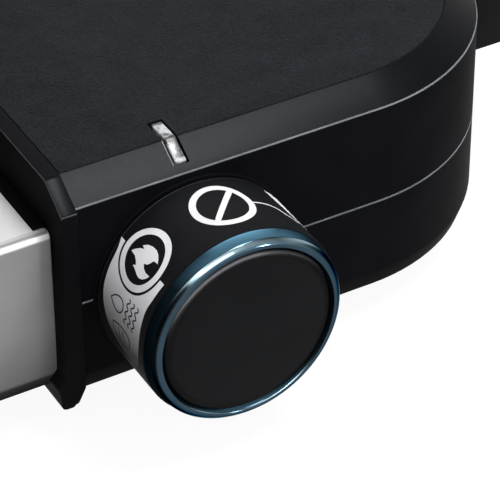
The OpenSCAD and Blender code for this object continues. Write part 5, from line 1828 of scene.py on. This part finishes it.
# Place, aim, width and height of each light in metres, and its roll in degrees
LIGHTS = {
    "key": ((0.71, -0.48, 1.30), (0.16, -0.15, 0.05), 0.8, 0.8),
    "back": ((0.5, 0.95, 1.0), (0.15, -0.1, 0.07), 1.0, 1.0),
    "fill": ((-0.8, -1.0, 1.3), (0.1, -0.15, 0.04), 0.6, 0.6),
    "accent": ((0.365, -0.29, 0.694), (0.12, -0.147, 0.07), 0.3, 0.2),
    "strip": ((-0.056, -0.97, 0.765), (0.163, -0.18, 0.04), 0.9, 0.2, 21),
    "spot": ((0.61, -0.75, 0.37), (0.16, -0.18, 0.02), 0.09, 0.09),
    "glint": ((-0.02, -0.97, 0.78), (0.163, -0.18, 0.04), 0.4, 0.03, 21),
}


def build_camera(lens):
    """Camera above the control housing's front, looking down to the left."""
    data = bpy.data.cameras.new("camera")
    data.lens = lens
    data.sensor_width = 36.0
    data.clip_start, data.clip_end = 0.05, 50.0
    camera = new_object("camera", data)
    right = Vector((0.87020948, -0.4926629, -0.00432787))
    up = Vector((0.30177399, 0.52605025, 0.79511231))
    back = Vector((-0.38944567, -0.69322031, 0.60644676))
    turn = Matrix((right, up, back)).transposed()
    camera.matrix_world = Matrix.Translation((-0.09587, -0.64112, 0.46693)) @ turn.to_4x4()
    bpy.context.scene.camera = camera


# ---- Operators ----


class GRILL_OT_housing_right(Operator):
    """Builds the control housing: two shells and a grained top panel."""

    bl_idname = "grill.housing_right"
    bl_label = "Control Housing"

    def execute(self, context):
        build_housing("right", "control_upper_shell", "control_lower_shell", "control_top_panel")
        return {"FINISHED"}


class GRILL_OT_housing_left(Operator):
    """Builds the plain end housing: two shells and a grained top panel."""

    bl_idname = "grill.housing_left"
    bl_label = "End Housing"

    def execute(self, context):
        build_housing("left", "end_upper_shell", "end_lower_shell", "end_top_panel")
        return {"FINISHED"}


class GRILL_OT_cheeks(Operator):
    """Builds the two cheek plates beside the cooking box."""

    bl_idname = "grill.cheeks"
    bl_label = "Cheek Plates"

    def execute(self, context):
        for side in ("right", "left"):
            node = side + "_cheek"
            dress(cheek_plate(side, node), node, "cheek_black", "cheek_edge", "bevel_satin")
        return {"FINISHED"}


class GRILL_OT_fascia(Operator):
    """Builds the steel fascia and the dark strips at the ends of its shelf."""

    bl_idname = "grill.fascia"
    bl_label = "Fascia"

    def execute(self, context):
        dress(fascia(), "front_fascia")
        dress(shelf_strips(), "shelf_end_strips")
        return {"FINISHED"}


class GRILL_OT_knob(Operator):
    """Builds the knob with its seat, bright ring and matte face."""

    bl_idname = "grill.knob"
    bl_label = "Knob"

    def execute(self, context):
        dress(knob_seat(), "knob_seat_plate", "housing_black")
        dress(knob_body(), "knob_sleeve", "knob_black", "cheek_edge")
        dress(knob_ring(), "knob_ring")
        dress(knob_face(), "knob_cap", "cap_black", "lip_satin")
        return {"FINISHED"}


class GRILL_OT_knob_print(Operator):
    """Prints the heat scale and its pictograms on the knob's sleeve."""

    bl_idname = "grill.knob_print"
    bl_label = "Knob Print"

    def execute(self, context):
        lift = sizes("grill_knob")["print_lift"]
        light = ink("print_light_figures", light_figures(), lift)
        attach(light, "knob", "knob_black", "print_light")
        dark = ink("print_dark_figures", dark_figures(), lift * 1.8)
        attach(dark, "knob", "knob_black", "print_dark")
        return {"FINISHED"}


class GRILL_OT_light_pipe(Operator):
    """Builds the indicator's light pipe in its slot."""

    bl_idname = "grill.light_pipe"
    bl_label = "Light Pipe"

    def execute(self, context):
        dress(light_bar(), "light_pipe", "clear_pipe", "edge_line")
        return {"FINISHED"}


class GRILL_OT_side_handles(Operator):
    """Builds the loop handles on the outer walls."""

    bl_idname = "grill.side_handles"
    bl_label = "Side Handles"

    def execute(self, context):
        for side in ("right", "left"):
            node = "side_handle_" + side
            dress(side_handle(side, node), node)
        return {"FINISHED"}


class GRILL_OT_lid(Operator):
    """Builds the lid: crown, band, rim, window, seal and frame."""

    bl_idname = "grill.lid"
    bl_label = "Lid"

    def execute(self, context):
        dress(lid_crown(), "lid_shell")
        dress(lid_band(), "lid_skirt")
        dress(lid_edge(), "lid_rim", "rim_steel")
        dress(lid_window(), "lid_glass")
        build_rounded("window_gasket")
        dress(lid_frame(), "window_bezel", "rim_steel")
        build_rounded("lid_bumpers")
        return {"FINISHED"}


class GRILL_OT_lid_handle(Operator):
    """Builds the lid's handle, its posts and the hinge parts."""

    bl_idname = "grill.lid_handle"
    bl_label = "Lid Handle and Hinges"

    def execute(self, context):
        dress(lid_bar(), "lid_handle_bar")
        build_rounded("lid_handle_posts", "lid_hinge_leaves", "hinge_pins", "hinge_brackets")
        return {"FINISHED"}


class GRILL_OT_grates(Operator):
    """Builds the two cast grates."""

    bl_idname = "grill.grates"
    bl_label = "Grates"

    def execute(self, context):
        for side in ("left", "right"):
            node = "grate_" + side
            dress(grate(side, node), node)
        return {"FINISHED"}


class GRILL_OT_drip_tray(Operator):
    """Builds the drip tray and its steel front."""

    bl_idname = "grill.drip_tray"
    bl_label = "Drip Tray"

    def execute(self, context):
        dress(tray_bowl(), "drip_tray")
        build_rounded("tray_front")
        return {"FINISHED"}


class GRILL_OT_cooking_box(Operator):
    """Builds the pan, liner, heating tube and what carries them."""

    bl_idname = "grill.cooking_box"
    bl_label = "Cooking Box"

    def execute(self, context):
        build_rounded("base_pan", "cookbox_liner", "tray_rails", "element_tube", "element_brackets")
        return {"FINISHED"}


class GRILL_OT_fittings(Operator):
    """Builds the switch, boards, leads, feet and the cord outlet's bush."""

    bl_idname = "grill.fittings"
    bl_label = "Fittings"

    def execute(self, context):
        build_rounded(
            "rotary_switch", "switch_nut", "switch_shaft", "control_board", "indicator_board",
            "thermal_cutout", "element_terminals", "heater_leads", "supply_leads", "rubber_feet",
            "cord_bush",
        )
        return {"FINISHED"}


class GRILL_OT_fasteners(Operator):
    """Sets the screws and rivets out on their places."""

    bl_idname = "grill.fasteners"
    bl_label = "Fasteners"

    def execute(self, context):
        build_fasteners()
        return {"FINISHED"}


class GRILL_OT_finishes(Operator):
    """Makes the finishes and puts them on the frame's own parts."""

    bl_idname = "grill.finishes"
    bl_label = "Finishes"

    def execute(self, context):
        make_finishes()
        finish_nodes()
        return {"FINISHED"}


class GRILL_OT_stage(Operator):
    """Sets up the camera, the pale floor and the soft studio light."""

    bl_idname = "grill.stage"
    bl_label = "Studio"

    def execute(self, context):
        values = context.scene.grill_stage
        context.scene.view_settings.view_transform = "Standard"
        build_camera(values.lens)
        build_floor()
        build_world(values.ambient)
        for name, row in LIGHTS.items():
            softbox(name, getattr(values, name), *row)
        return {"FINISHED"}


STEPS = (
    GRILL_OT_finishes, GRILL_OT_housing_right, GRILL_OT_housing_left, GRILL_OT_cheeks,
    GRILL_OT_fascia, GRILL_OT_knob, GRILL_OT_knob_print, GRILL_OT_light_pipe,
    GRILL_OT_side_handles, GRILL_OT_lid, GRILL_OT_lid_handle, GRILL_OT_grates,
    GRILL_OT_drip_tray, GRILL_OT_cooking_box, GRILL_OT_fittings, GRILL_OT_fasteners,
    GRILL_OT_stage,
)


class GRILL_PT_pieces(Panel):
    """Lists the grill's sizes and the steps that build it."""

    bl_idname = "GRILL_PT_pieces"
    bl_label = "Countertop Grill"
    bl_space_type = "VIEW_3D"
    bl_region_type = "UI"
    bl_category = "Grill"

    def draw(self, context):
        for step in STEPS:
            self.layout.operator(step.bl_idname)
        for attribute, group in SETTINGS.items():
            box = self.layout.box()
            box.label(text=attribute.replace("grill_", "").capitalize())
            for key in group.__annotations__:
                box.prop(getattr(context.scene, attribute), key)


def register():
    for group in SETTINGS.values():
        bpy.utils.register_class(group)
    for step in STEPS:
        bpy.utils.register_class(step)
    bpy.utils.register_class(GRILL_PT_pieces)
    for attribute, group in SETTINGS.items():
        setattr(bpy.types.Scene, attribute, PointerProperty(type=group))


def unregister():
    for attribute in SETTINGS:
        delattr(bpy.types.Scene, attribute)
    bpy.utils.unregister_class(GRILL_PT_pieces)
    for step in reversed(STEPS):
        bpy.utils.unregister_class(step)
    for group in reversed(list(SETTINGS.values())):
        bpy.utils.unregister_class(group)


def main():
    register()
    for step in STEPS:
        group, name = step.bl_idname.split(".")
        getattr(getattr(bpy.ops, group), name)()


if __name__ == "__main__":
    main()
